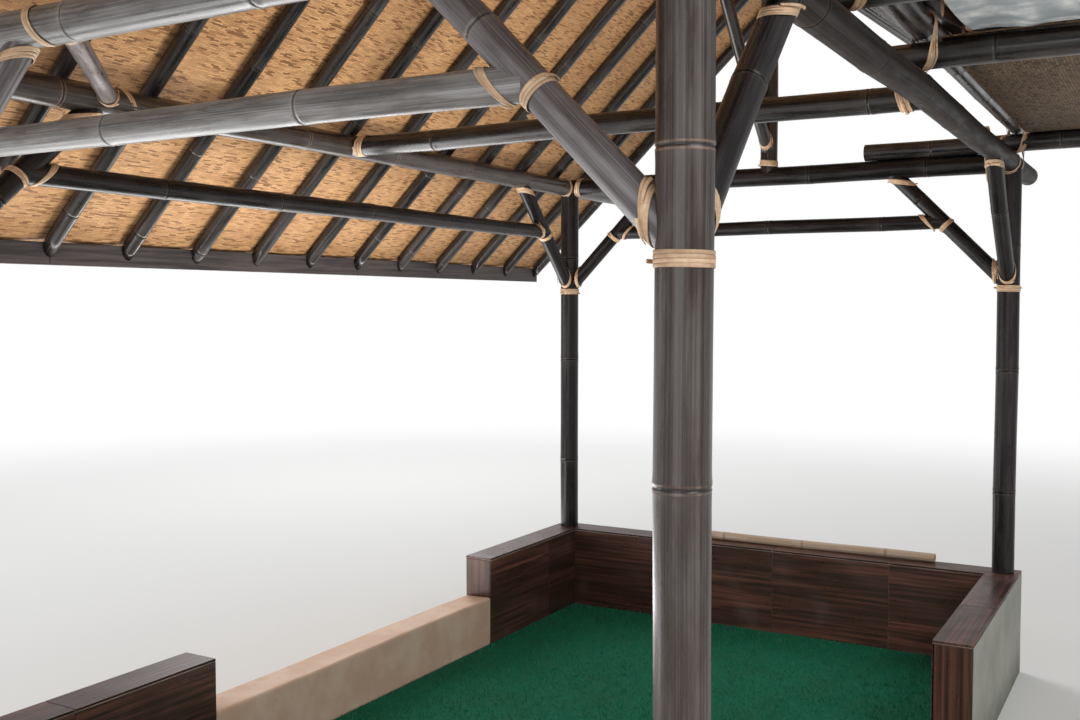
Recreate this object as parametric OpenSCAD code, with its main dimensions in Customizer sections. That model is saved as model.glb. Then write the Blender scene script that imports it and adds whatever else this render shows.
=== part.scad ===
// Open bamboo pavilion: four lashed bamboo posts on low tiled walls, a gable
// roof of bamboo rafters, woven mat and thatch, and an entrance on one long side.
// X runs across the pavilion (river side at -X, entrance side at +X), Y runs
// along the ridge, Z is up. The origin is on the ground under the roof's middle.

/* [Posts and plates] */
// distance between post centres across the pavilion
post_gap_x = 2362; // [1800:1:3600]
// distance between post centres along the pavilion
post_gap_y = 3986; // [2600:1:6000]
// diameter of a corner post
post_d = 102; // [80:1:160]
// diameter of the plates that join the post tops
plate_d = 96; // [70:1:140]
// height of the plates' centre line above the finished floor
plate_h = 2370; // [2000:5:3000]
// diameter of the tie that joins the two long plates at mid length
mid_tie_d = 84; // [60:1:94]
// distance of the mid tie from the middle of the posts, along the pavilion
mid_tie_off = 25; // [-400:5:400]

/* [Braces and ties] */
// diameter of the knee braces and of the lower ties
brace_d = 72; // [50:1:72]
// height above the floor where a brace's centre line meets the post
brace_foot_h = 1795; // [1500:5:2100]
// distance from the post where a brace's centre line meets the plate
brace_run = 565; // [350:5:800]
// runs of the two longer braces at the near river post, along X and along Y
long_run = [667, 737]; // [350:1:900]
// distance by which the feet of those two braces are lower
long_drop = 84; // [0:1:150]
// distance of the lower ties' centre line below the plates' centre line
tie_drop = 265; // [150:5:400]
// diameter of the diagonal strut between two plates at the corner
strut_d = 56; // [40:1:80]
// distance of the strut's ends from the post centre
strut_run = 780; // [400:10:900]
// height of the lashing band below the brace feet
band_h = 34; // [15:1:60]
// thickness of the lashing band
band_t = 5; // [3:0.5:10]

/* [Culms] */
// distance between the knots of a post, plate, tie or brace
knot_gap = 580; // [300:10:800]
// distance between the knots of a rafter
rafter_knot_gap = 430; // [250:10:600]
// depth of the scar groove at a knot
knot_scar = 3; // [1:0.5:5]
// depth by which a culm narrows between its knots
knot_waist = 0.4; // [0:0.1:0.4]
// depth of the hollow at a cut end
hollow_l = 70; // [30:5:120]
// inner diameter of a hollow end as a share of the culm's diameter
hollow_share = 0.76; // [0.6:0.02:0.86]
// height of the first knot of a post above its foot
post_knot = 387; // [100:1:560]

/* [Low walls] */
// height of the low walls above the floor, with their cap tiles
wall_h = 420; // [300:5:600]
// thickness of the low walls
wall_t = 150; // [120:5:240]
// thickness of the tile facing and of the cap tiles
facing_t = 12; // [8:1:20]
// length of the river wall from the far post centre to the opening
river_far_len = 978; // [400:1:1800]
// length of the river wall from the near post centre to the opening
river_near_len = 1138; // [400:1:1800]
// height of the kerb across the river opening
kerb_h = 224; // [100:2:400]
// length of each entrance side wall from its post centre
side_len = 1329; // [400:1:1700]
// length of a wall tile
tile_l = 600; // [200:5:900]
// height of the lower row of tiles above the floor
tile_row = 210; // [150:5:250]
// distance from the river wall's inner face to the first joint of an end wall
tile_first = 568; // [100:1:600]
// width of the joints between the tiles
joint_w = 4; // [2:0.5:8]
// depth of the joints between the tiles
joint_t = 3; // [1:0.5:6]

/* [Floor] */
// thickness of the floor slab
slab_t = 55; // [40:5:150]
// thickness of the turf mat
turf_t = 20; // [8:1:40]

/* [Roof] */
// pitch of the river slope in degrees
river_pitch = 43.6; // [30:0.1:50]
// distance from the river posts' centres to the outer face of the eave board
eave_out = 610; // [300:5:900]
// distance from the far posts' centres to the last rafter
verge_far = 615; // [200:5:900]
// number of rafters on each slope
rafter_n = 16; // [10:1:20]
// distance between rafters
rafter_gap = 362; // [250:1:450]
// diameter of a rafter
rafter_d = 60; // [40:1:80]
// diameter of the ridge beam
ridge_d = 90; // [70:1:120]
// thickness of the woven mat
mat_t = 6; // [3:1:12]
// thickness of the thatch on the river slope
thatch_t = 130; // [80:5:250]
// distance between the courses of the thatch, level across the slope
course_l = 300; // [200:10:500]
// step in the thatch at the butts of each course
course_t = 30; // [10:2:50]
// half width of the straw roll over the ridge
cap_w = 260; // [200:5:290]
// height of the straw roll above the thatch
cap_h = 70; // [40:5:120]
// distance that the thatch passes the eave board
thatch_lip = 40; // [10:5:120]
// height of the eave board
board_h = 86; // [50:1:120]
// thickness of the eave board
board_t = 22; // [12:1:40]
// distance that the entrance slope passes the plate
side_out = 100; // [60:5:300]

/* [Entrance side eave] */
// diameter of the outriggers that lie across the entrance side plate
outrigger_d = 84; // [50:1:100]
// diameter of the upper plate that lies on the outriggers
upper_plate_d = 88; // [60:1:110]
// distance of the upper plate from the post line
upper_plate_off = 25; // [0:5:60]
// distance of the two middle outriggers from the near posts
outrigger_y = [1000, 1830]; // [400:10:3600]
// distance of the gable outriggers' inner ends from the middle
outrigger_in = 500; // [100:10:900]
// distance of the side outriggers' inner ends from the plate
outrigger_tail = 75; // [50:5:200]
// thickness of the loose sheet over the outriggers and the side mat
sheet_t = 14; // [4:1:40]
// distance of the loose sheet from the slope's edge
sheet_off = 60; // [20:10:200]
// distance that the loose sheet laps over the side mat
sheet_lap = 160; // [60:10:600]

/* [Gable and rail] */
// height above the floor where a ridge brace meets the king post
ridge_brace_foot = 2490; // [2450:5:2800]
// distance from the king post to the top of the ridge brace
ridge_brace_run = 1000; // [500:10:1400]
// diameter of the ridge braces
ridge_brace_d = 62; // [40:1:80]
// diameter of the bamboo rail on the back wall
rail_d = 44; // [30:1:60]
// length of the bamboo rail
rail_len = 1300; // [600:10:1500]
// distance of the rail's end from the river side post
rail_start = 740; // [100:10:850]
// distance of the rail from the middle of the back wall
rail_off = 45; // [0:1:50]

/* [Hidden] */
$fn = 48;
seat = 0.3;
f = slab_t + turf_t;
px = post_gap_x / 2;
roof_l = rafter_gap * (rafter_n - 1);
verge_near = roof_l - post_gap_y - verge_far;
yn = -roof_l / 2 + verge_near;
yf = roof_l / 2 - verge_far;
zp = f + plate_h;
zt = zp - tie_drop;
zb = f + brace_foot_h;
zb_long = zb - long_drop;
zw = f + wall_h;
pr = plate_d / 2;
// river slope: underside of the rafters, and the ridge beam that they rest on
c1 = cos(river_pitch);
t1 = tan(river_pitch);
z1 = zp + pr / c1 + px * t1;
zr = z1 - ridge_d / 2 / c1;
// entrance slope: the line that touches the ridge beam and the upper plate
zo = zp + pr + outrigger_d / 2;
zu = zo + outrigger_d / 2 + upper_plate_d / 2;
xu = px + upper_plate_off;
side_pitch = atan2(zr - zu, xu)
    + asin((ridge_d - upper_plate_d) / 2 / norm([xu, zr - zu]));
c2 = cos(side_pitch);
t2 = tan(side_pitch);
z2 = zr + ridge_d / 2 / c2;
x_eave = -px - eave_out;
x_side = px + side_out;
x_tip = px + eave_out + thatch_lip;
// the two thatches are as high as each other at the ridge
ridge_top = z1 + (rafter_d + mat_t + thatch_t) / c1;
side_thatch_t = (ridge_top - z2) * c2 - rafter_d - mat_t;
xo = px + wall_t / 2;
xi = px - wall_t / 2;

bamboo = [0.20, 0.16, 0.14];
bamboo_grey = [0.33, 0.28, 0.25];
tile = [0.40, 0.24, 0.20];
cement = [0.52, 0.53, 0.48];
mat = [0.74, 0.54, 0.28];
straw = [0.62, 0.53, 0.38];
rattan = [0.86, 0.68, 0.52];

// half outline of a culm: the skin narrows a little between its knots, and
// each knot is a scar groove between two ridges
function culm_outline(r, h, k0, gap) = concat(
    [[0, 0], [r - knot_waist, 0]],
    [for (k = [k0:gap:h - 25], p = [[knot_waist, -16], [0, -4], [knot_scar, 0],
        [0, 4], [knot_waist, 16]]) [r - p[0], k + p[1]]],
    [[r - knot_waist, h], [0, h]]);

// turn and move a shape that stands on the origin so that it runs from a to b
module along(a, b) {
    v = b - a;
    translate(a) rotate([0, acos(v[2] / norm(v)), atan2(v[1], v[0])]) children();
}

// plain round bar of diameter d between two points, for the cuts
module pole(a, b, d) {
    along(a, b) cylinder(h = norm(b - a), d = d);
}

// bamboo culm of diameter d between two points: the first knot is k0 from a,
// and open_a and open_b say which ends are cut through the hollow
module culm(a, b, d, k0 = 150, gap = knot_gap, open_a = false, open_b = false) {
    h = norm(b - a);
    along(a, b) difference() {
        rotate_extrude() polygon(culm_outline(d / 2, h, k0, gap));
        if (open_a) translate([0, 0, -1])
            cylinder(h = hollow_l + 1, d = d * hollow_share);
        if (open_b) translate([0, 0, h - hollow_l])
            cylinder(h = hollow_l + 1, d = d * hollow_share);
    }
}

// box between two corner points
module box(a, b) {
    translate(a) cube(b - a);
}

// the space that a plate along Y at x, or one along X at y, takes with its seat
module plate_y_cut(x) {
    pole([x, -roof_l / 2 - 30, zp], [x, roof_l / 2 + 30, zp], plate_d + 2 * seat);
}

module plate_x_cut(y) {
    pole([-px - 5, y, zp], [px + 5, y, zp], plate_d + 2 * seat);
}

// layer of a slope: side is -1 or 1, and each point of the outline is a level
// distance from the ridge and a height square to the rafters' underside
module slope_layer(side, outline, over) {
    c = side < 0 ? c1 : c2;
    t = side < 0 ? t1 : t2;
    z = side < 0 ? z1 : z2;
    translate([0, roof_l / 2 + over, 0]) rotate([90, 0, 0])
        linear_extrude(height = roof_l + 2 * over)
            polygon([for (p = outline) [side * p[0], z - t * p[0] + p[1] / c]]);
}

module slope_mat(side, x1) {
    a = rafter_d;
    color(mat) slope_layer(side, [[1, a], [x1, a], [x1, a + mat_t], [1, a + mat_t]], 40);
}

// thatch laid in courses from the eave up: each course thins out up the slope
// and the butts of the next one step up over it
module slope_thatch(side, x1, thick) {
    a = rafter_d + mat_t;
    b = a + thick;
    n = floor((x1 - cap_w - 20) / course_l);
    color(straw) slope_layer(side, concat([[1, b], [1, a], [x1, a]],
        [for (i = [0:n - 1], p = [[0, b], [1, b - course_t]])
            [x1 - (i + p[0]) * course_l, p[1]]],
        [[x1 - n * course_l, b]]), 60);
}

// low wall core and its tile facing, as boxes in plan
module wall_core(x0, x1, y0, y1) {
    color(cement) box([x0, y0, slab_t], [x1, y1, zw - facing_t]);
}

module post(x, y) {
    color(bamboo_grey) difference() {
        culm([x, y, zw], [x, y, zp - 20], post_d, post_knot);
        plate_y_cut(x);
        plate_x_cut(y);
    }
}

// knee brace in the frame along X from the post at x, y: dir is its direction
module brace_x(x, y, dir, run = brace_run, foot = zb, k0 = 585) {
    difference() {
        culm([x, y, foot], [x + dir * run, y, zp], brace_d, k0);
        pole([x, y, zw], [x, y, zp], post_d + 2 * seat);
        plate_x_cut(y);
    }
}

module brace_y(x, y, dir, run = brace_run, foot = zb) {
    difference() {
        culm([x, y, foot], [x, y + dir * run, zp], brace_d, 460);
        pole([x, y, zw], [x, y, zp], post_d + 2 * seat);
        plate_y_cut(x);
    }
}

// distance from the post to the brace's centre line at the lower tie, and the
// same for the two longer braces
tie_in = brace_run * (zt - zb) / (zp - zb);
long_in = long_run * (zt - zb_long) / (zp - zb_long);

module floor_slab() {
    color([0.56, 0.55, 0.52])
        box([-xo, yn - wall_t / 2, 0], [xo, yf + wall_t / 2, slab_t]);
}

module turf_mat() {
    color([0.13, 0.35, 0.16]) {
        box([-xi, yn + wall_t / 2, slab_t], [xi, yf - wall_t / 2, f]);
        box([xi, yn + side_len, slab_t], [xo, yf - side_len, f]);
    }
}

module end_walls() {
    wall_core(-xo, xo, yf - wall_t / 2 + facing_t, yf + wall_t / 2);
    wall_core(-xo, xo, yn - wall_t / 2, yn + wall_t / 2 - facing_t);
}

module river_walls() {
    wall_core(-xo, -xi - facing_t, yf - river_far_len + facing_t,
        yf - wall_t / 2 + facing_t);
    wall_core(-xo, -xi - facing_t, yn + wall_t / 2 - facing_t,
        yn + river_near_len - facing_t);
}

module river_kerb() {
    color([0.80, 0.60, 0.50])
        box([-xo, yn + river_near_len, slab_t], [-xi, yf - river_far_len, f + kerb_h]);
}

module side_walls() {
    wall_core(xi + facing_t, xo, yf - side_len + facing_t, yf - wall_t / 2 + facing_t);
    wall_core(xi + facing_t, xo, yn + wall_t / 2 - facing_t, yn + side_len - facing_t);
}

// joint between two tiles: a groove along a line, as wide and deep as the joints
module joint(a, b) {
    w = joint_w / 2;
    box([min(a[0], b[0]) - w, min(a[1], b[1]) - w, min(a[2], b[2]) - w],
        [max(a[0], b[0]) + w, max(a[1], b[1]) + w, max(a[2], b[2]) + w]);
}

// facing of a whole end wall: inner face and cap. dir points into the room
module end_facing(y, dir) {
    ya = y + dir * wall_t / 2;
    yb = ya - dir * facing_t;
    yj = ya + dir * (joint_w / 2 - joint_t);
    zj = zw + joint_w / 2 - joint_t;
    color(tile) difference() {
        union() {
            box([-xi - facing_t, min(ya, yb), slab_t],
                [xi + facing_t, max(ya, yb), zw - facing_t]);
            box([-xo, y - wall_t / 2, zw - facing_t], [xo, y + wall_t / 2, zw]);
        }
        joint([-xo - 9, yj, f + tile_row], [xo + 9, yj, f + tile_row]);
        for (x = [-xi + tile_first:tile_l:xi - 40]) {
            joint([x, yj, 0], [x, yj, zw - facing_t - joint_w / 2]);
            joint([x, y - wall_t, zj], [x, y + wall_t, zj]);
        }
    }
}

// facing of a side wall piece: inner face, end face and cap
module stub_facing(side, y, len, dir) {
    ya = y - dir * wall_t / 2;
    ye = y - dir * len;
    yc = ye + dir * facing_t;
    xj = xi - joint_w / 2 + joint_t;
    zj = zw + joint_w / 2 - joint_t;
    color(tile) scale([side, 1, 1]) difference() {
        union() {
            box([xi, min(ya, ye), slab_t], [xi + facing_t, max(ya, ye), zw - facing_t]);
            box([xi + facing_t, min(ye, yc), slab_t], [xo, max(ye, yc), zw - facing_t]);
            box([xi, min(ya, ye), zw - facing_t], [xo, max(ya, ye), zw]);
        }
        joint([xj, ya + dir * 9, f + tile_row], [xj, ye - dir * 9, f + tile_row]);
        joint([xi - 9, ye - dir * (joint_w / 2 - joint_t), f + tile_row],
            [xo + 9, ye - dir * (joint_w / 2 - joint_t), f + tile_row]);
        for (k = [tile_l:tile_l:len - wall_t / 2 - 40]) {
            joint([xj, ye + dir * k, 0], [xj, ye + dir * k, zw - facing_t - joint_w / 2]);
            joint([xi - 9, ye + dir * k, zj], [xo + 9, ye + dir * k, zj]);
        }
    }
}

module end_tiles() {
    end_facing(yf, -1);
    end_facing(yn, 1);
}

module river_tiles() {
    stub_facing(-1, yf, river_far_len, 1);
    stub_facing(-1, yn, river_near_len, -1);
}

module side_tiles() {
    stub_facing(1, yf, side_len, 1);
    stub_facing(1, yn, side_len, -1);
}

module post_river_near() { post(-px, yn); }

module post_side_near() { post(px, yn); }

module post_river_far() { post(-px, yf); }

module post_side_far() { post(px, yf); }

// one flat ring of rattan round each post, under the brace feet
module post_bands() {
    color(rattan) for (x = [-px, px], y = [yn, yf])
        translate([x, y, (x < 0 && y < 0 ? zb_long : zb) - band_h - 10]) difference() {
            cylinder(h = band_h, d = post_d + 2 * seat + 2 * band_t);
            translate([0, 0, -1]) cylinder(h = band_h + 2, d = post_d + 2 * seat);
        }
}

module near_braces() {
    color(bamboo) {
        brace_x(-px, yn, 1, long_run[0], zb_long, 330);
        brace_x(px, yn, -1);
    }
}

module back_braces() {
    color(bamboo) { brace_x(-px, yf, 1); brace_x(px, yf, -1); }
}

module river_braces() {
    color(bamboo) {
        brace_y(-px, yn, 1, long_run[1], zb_long);
        brace_y(-px, yf, -1);
    }
}

module side_braces() {
    color(bamboo) { brace_y(px, yn, 1); brace_y(px, yf, -1); }
}

// lower tie along X between the two braces of an end frame: run, foot and inset
// are those of the brace on the river side
module tie_x(y, k0, run, foot, inset) {
    color(bamboo) difference() {
        culm([-px + inset, y, zt], [px - tie_in, y, zt], brace_d, k0);
        pole([-px, y, foot], [-px + run, y, zp], brace_d + 2 * seat);
        pole([px, y, zb], [px - brace_run, y, zp], brace_d + 2 * seat);
    }
}

module near_tie() { tie_x(yn, 540, long_run[0], zb_long, long_in[0]); }

module back_tie() { tie_x(yf, 300, brace_run, zb, tie_in); }

module river_tie() {
    color(bamboo) difference() {
        culm([-px, yn + long_in[1], zt], [-px, yf - tie_in, zt], brace_d, 544);
        pole([-px, yn, zb_long], [-px, yn + long_run[1], zp], brace_d + 2 * seat);
        pole([-px, yf, zb], [-px, yf - brace_run, zp], brace_d + 2 * seat);
    }
}

// beam along the whole roof, open at both cut ends
module long_culm(x, z, d, k0) {
    color(bamboo) culm([x, -roof_l / 2 - 30, z], [x, roof_l / 2 + 30, z], d, k0,
        open_a = true, open_b = true);
}

module river_plate() { long_culm(-px, zp, plate_d, 260); }

module side_plate() { long_culm(px, zp, plate_d, 410); }

// end plate: its ends are cut to the long plates
module end_plate(y) {
    color(bamboo) difference() {
        culm([-px, y, zp], [px, y, zp], plate_d, 240);
        plate_y_cut(-px);
        plate_y_cut(px);
    }
}

module near_plate() { end_plate(yn); }

module back_plate() { end_plate(yf); }

module mid_tie() {
    y = (yn + yf) / 2 + mid_tie_off;
    color(bamboo) difference() {
        culm([-px, y, zp], [px, y, zp], mid_tie_d, 440);
        plate_y_cut(-px);
        plate_y_cut(px);
    }
}

module corner_strut() {
    color(bamboo) difference() {
        culm([-px, yn + strut_run, zp], [-px + strut_run, yn, zp], strut_d, 420);
        plate_y_cut(-px);
        plate_x_cut(yn);
    }
}

module ridge_cut() {
    pole([0, -roof_l / 2 - 30, zr], [0, roof_l / 2 + 30, zr], ridge_d + 2 * seat);
}

module king_posts() {
    color(bamboo) difference() {
        for (y = [yn, yf]) culm([0, y, zp], [0, y, zr], ridge_d - 1, 400);
        plate_x_cut(yn);
        plate_x_cut(yf);
        ridge_cut();
    }
}

module ridge_beam() { long_culm(0, zr, ridge_d, 180); }

module ridge_braces() {
    color(bamboo) difference() {
        for (e = [[yn, 1], [yf, -1]])
            culm([0, e[0], f + ridge_brace_foot],
                [0, e[0] + e[1] * ridge_brace_run, zr], ridge_brace_d, 480);
        for (y = [yn, yf]) pole([0, y, zp], [0, y, zr], ridge_d - 1 + 2 * seat);
        ridge_cut();
    }
}

// rafters of one slope, cut plumb at the ridge and at the tail
module rafters(side, x1) {
    c = side < 0 ? c1 : c2;
    t = side < 0 ? t1 : t2;
    z = (side < 0 ? z1 : z2) + rafter_d / 2 / c;
    color(bamboo) intersection() {
        for (i = [0:rafter_n - 1]) {
            y = -roof_l / 2 + i * rafter_gap;
            culm([-side * 60, y, z + t * 60], [side * (x1 + 60), y, z - t * (x1 + 60)],
                rafter_d, 120 + 75 * (i % 5), rafter_knot_gap);
        }
        box([side < 0 ? -x1 : 1, -roof_l, zw], [side < 0 ? -1 : x1, roof_l, ridge_top]);
    }
}

module river_rafters() { rafters(-1, -x_eave - board_t); }

module side_rafters() { rafters(1, x_side); }

module eave_board() {
    ztop = z1 + (x_eave) * t1 + rafter_d / c1 - 2;
    color([0.16, 0.12, 0.10])
        box([x_eave, -roof_l / 2 - rafter_d / 2, ztop - board_h],
            [x_eave + board_t, roof_l / 2 + rafter_d / 2, ztop]);
}

module river_mat() { slope_mat(-1, -x_eave + 8); }

module side_mat() { slope_mat(1, x_side + 12); }

module river_thatch() { slope_thatch(-1, -x_eave + thatch_lip, thatch_t); }

module side_thatch() { slope_thatch(1, x_side - 10, side_thatch_t); }

// straw roll over the ridge, resting on both thatches
module ridge_cap() {
    w = cap_w;
    h = cap_h;
    color(straw * 0.85) translate([0, roof_l / 2 + 60, 0]) rotate([90, 0, 0])
        linear_extrude(height = roof_l + 120)
            polygon([[0, ridge_top], [-w, ridge_top - w * t1],
                [-w + 10, ridge_top - w * t1 + h], [-90, ridge_top - 90 * t1 + h + 25],
                [0, ridge_top + h - 5], [90, ridge_top - 90 * t2 + h + 20],
                [w - 10, ridge_top - w * t2 + h], [w, ridge_top - w * t2]]);
}

module gable_outriggers() {
    color(bamboo) for (y = [yn, yf])
        culm([outrigger_in, y, zo], [x_tip, y, zo], outrigger_d, 320, open_a = true,
            open_b = true);
}

module side_outriggers() {
    color(bamboo) for (y = outrigger_y)
        culm([px - outrigger_tail, yn + y, zo], [x_tip, yn + y, zo], outrigger_d, 310,
            open_a = true, open_b = true);
}

module upper_plate() { long_culm(xu, zu, upper_plate_d, 330); }

module side_eave_mat() {
    z = zo + outrigger_d / 2;
    color(mat) box([xu + upper_plate_d / 2 + 4, yn + outrigger_y[1] - 60, z],
        [x_tip - 10, yf + 60, z + mat_t]);
}

// loose sheet that lies on the two middle outriggers and laps over the side mat
module side_eave_sheet() {
    z = zo + outrigger_d / 2;
    x = x_side + sheet_off;
    y = yn + outrigger_y[1] - 60;
    color([0.55, 0.62, 0.70]) {
        box([x, yn + outrigger_y[0] - 60, z], [x_tip - 20, y, z + sheet_t]);
        box([x, y, z + mat_t], [x_tip - 20, y + sheet_lap, z + mat_t + sheet_t]);
    }
}

module wall_rail() {
    color([0.66, 0.50, 0.34])
        culm([-px + rail_start, yf + rail_off, zw + rail_d / 2],
            [-px + rail_start + rail_len, yf + rail_off, zw + rail_d / 2], rail_d, 200,
            rafter_knot_gap, open_a = true, open_b = true);
}

floor_slab();
turf_mat();
end_walls();
river_walls();
side_walls();
river_kerb();
end_tiles();
river_tiles();
side_tiles();
post_river_near();
post_side_near();
post_river_far();
post_side_far();
post_bands();
near_braces();
back_braces();
river_braces();
side_braces();
near_tie();
back_tie();
river_tie();
river_plate();
side_plate();
near_plate();
back_plate();
mid_tie();
corner_strut();
king_posts();
ridge_beam();
ridge_braces();
river_rafters();
side_rafters();
eave_board();
river_mat();
side_mat();
river_thatch();
side_thatch();
ridge_cap();
gable_outriggers();
side_outriggers();
upper_plate();
side_eave_mat();
side_eave_sheet();
wall_rail();
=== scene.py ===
"""Open pavilion of lashed bamboo on low tiled walls, with a mat ceiling and a thatched gable roof.

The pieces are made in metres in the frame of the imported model: X runs from the
kerb side to the entrance side, Y along the ridge, Z up.
"""

import math
import random

import bmesh
import bpy
import numpy as np
from bpy.props import FloatProperty, FloatVectorProperty, IntProperty, PointerProperty
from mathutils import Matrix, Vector


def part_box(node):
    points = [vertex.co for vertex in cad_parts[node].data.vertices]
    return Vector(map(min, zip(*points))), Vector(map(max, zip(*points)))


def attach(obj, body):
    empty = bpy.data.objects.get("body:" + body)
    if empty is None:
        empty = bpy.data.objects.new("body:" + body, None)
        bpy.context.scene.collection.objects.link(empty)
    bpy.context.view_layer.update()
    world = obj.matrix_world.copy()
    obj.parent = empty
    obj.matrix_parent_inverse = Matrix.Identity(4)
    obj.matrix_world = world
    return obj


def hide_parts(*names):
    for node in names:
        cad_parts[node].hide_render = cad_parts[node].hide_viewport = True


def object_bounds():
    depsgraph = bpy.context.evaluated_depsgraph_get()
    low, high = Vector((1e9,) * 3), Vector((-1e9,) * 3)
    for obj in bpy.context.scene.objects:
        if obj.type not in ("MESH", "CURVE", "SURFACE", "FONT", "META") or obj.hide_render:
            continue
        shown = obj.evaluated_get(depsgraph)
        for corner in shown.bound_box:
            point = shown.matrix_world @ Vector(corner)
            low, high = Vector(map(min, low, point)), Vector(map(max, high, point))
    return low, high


bl_info = {
    "name": "Bamboo pavilion",
    "version": (1, 0, 0),
    "blender": (4, 5, 0),
    "location": "3D View > Sidebar > Pavilion",
    "description": "Dresses the bamboo pavilion with culms, lashings, tiles, mats and thatch",
    "category": "Object",
}

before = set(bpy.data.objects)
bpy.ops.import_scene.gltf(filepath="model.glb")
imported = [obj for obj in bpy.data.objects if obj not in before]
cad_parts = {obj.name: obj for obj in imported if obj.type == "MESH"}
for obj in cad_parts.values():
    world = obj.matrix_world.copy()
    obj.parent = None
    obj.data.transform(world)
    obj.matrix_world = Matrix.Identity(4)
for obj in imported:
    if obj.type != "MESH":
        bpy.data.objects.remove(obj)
CAD_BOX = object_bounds()


# places and sizes of the part, most of them read from the frame


def low(node):
    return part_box(node)[0]


def high(node):
    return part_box(node)[1]


def centre(node):
    return (low(node) + high(node)) / 2


def half_height(node):
    return (high(node).z - low(node).z) / 2


# posts, plates, ties and braces
POST_X = centre("post_side_near").x
NEAR_Y = centre("post_side_near").y
FAR_Y = centre("post_side_far").y
POST_FOOT = low("post_side_near").z
POST_R = (high("post_side_near").x - low("post_side_near").x) / 2
PLATE_Z = centre("near_plate").z
PLATE_R = 0.048
TIE_Z = centre("near_tie").z
BRACE_R = half_height("near_tie")
BAND_H = 0.034
OVER_BAND = 0.010
BRACE_FOOT_Z = high("post_bands").z + OVER_BAND
BRACE_RUN = 0.565
# the braces of the near post on the kerb side start lower and run further, along X and along Y
LONG_FOOT_Z = low("post_bands").z + BAND_H + OVER_BAND
LONG_RUN = (0.667, 0.737)
STRUT_RUN = 0.780
STRUT_R = 0.028
MID_Y = centre("mid_tie").y
MID_R = half_height("mid_tie")

# roof
RAFTERS = 16
RAFTER_R = 0.030
ROOF_HALF = high("river_rafters").y - RAFTER_R
RAFTER_GAP = 2 * ROOF_HALF / (RAFTERS - 1)
RIVER_PITCH = math.radians(43.6)
EAVE_X = low("eave_board").x
BOARD_T = 0.022
SIDE_X = high("side_rafters").x
RIDGE_Z = centre("ridge_beam").z
RIDGE_R = half_height("ridge_beam")
UPPER_X = centre("upper_plate").x
UPPER_Z = centre("upper_plate").z
UPPER_R = half_height("upper_plate")
OUT_Z = centre("side_outriggers").z
OUT_R = half_height("side_outriggers")
OUT_TIP = high("side_outriggers").x
OUT_Y = (NEAR_Y, NEAR_Y + 1.0, NEAR_Y + 1.83, FAR_Y)
SIDE_PITCH = math.atan2(RIDGE_Z - UPPER_Z, UPPER_X) + math.asin(
    (RIDGE_R - UPPER_R) / math.hypot(UPPER_X, RIDGE_Z - UPPER_Z)
)
# each slope's side and pitch, and the height of its rafters' underside at the ridge line
SLOPES = {
    "river": (-1, RIVER_PITCH, RIDGE_Z + RIDGE_R / math.cos(RIVER_PITCH)),
    "side": (1, SIDE_PITCH, RIDGE_Z + RIDGE_R / math.cos(SIDE_PITCH)),
}

THATCH_TOP = high("river_thatch").z
THATCH_Y = (low("river_thatch").y, high("river_thatch").y)

# walls and floor
FLOOR_Z = high("turf_mat").z
RIDGE_BRACE_FOOT_Z = FLOOR_Z + 2.49
RIDGE_BRACE_R = 0.031
WALL_TOP = high("end_tiles").z
WALL_OUT_X = high("end_walls").x
WALL_T = 0.150
WALL_IN_X = WALL_OUT_X - WALL_T
FACING = 0.012
TILES_UNDER_FLOOR = 0.019
FIRST_JOINT = 0.568
# heights of the one row of tiles on a wall's inner face, and the width of the row on its cap
TILE_ROW = (0.0, WALL_TOP - FACING - (FLOOR_Z - TILES_UNDER_FLOOR) - 0.001)
CAP_ROW = (0.0, WALL_T)
# lengths of the near and the far wall on each long side, from the post's centre to the opening
RIVER_WALLS = (1.138, 0.978)
SIDE_WALLS = (1.329, 1.329)


# sizes and colours to change


def length(name, text, value):
    return FloatProperty(name=name, description=text, default=value, unit="LENGTH", precision=4)


def colour(name, text, value):
    return FloatVectorProperty(
        name=name, description=text, default=value, subtype="COLOR", size=3, min=0, max=1
    )


def amount(name, text, value, **more):
    return FloatProperty(name=name, description=text, default=value, **more)


class CulmSizes(bpy.types.PropertyGroup):
    knot_gap: length("Knot gap", "Distance between the knots of a post, plate or tie", 0.58)
    rafter_gap: length("Rafter knot gap", "Distance between the knots of a rafter", 0.43)
    ridge: length("Ridge", "How far the ridge at a knot stands proud", 0.0012)
    scar: length("Scar", "Depth of the groove at a knot", 0.0010)
    wander: length("Wander", "How far a culm strays from straight at each knot", 0.0025)
    sides: IntProperty(name="Sides", description="Faces round a culm", default=24, min=8)
    dark: colour("Dark skin", "Darkest colour of the dark bamboo", (0.008, 0.007, 0.008))
    warm: colour("Warm skin", "Red brown colour of the dark bamboo", (0.032, 0.023, 0.020))
    grey: colour("Grey skin", "Weathered grey of the dark bamboo", (0.115, 0.104, 0.100))
    cut: colour("Cut end", "Colour of a sawn culm end", (0.42, 0.30, 0.18))


class LashingSizes(bpy.types.PropertyGroup):
    strip: length("Strip width", "Width of one rattan strip", 0.0078)
    thick: length("Strip thickness", "Thickness of one rattan strip", 0.0026)
    strands: IntProperty(name="Strands", description="Strips side by side", default=4, min=1)
    light: colour("Light rattan", "Pale colour of the rattan", (0.80, 0.58, 0.39))
    deep: colour("Deep rattan", "Deeper colour of the rattan", (0.52, 0.31, 0.17))


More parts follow.
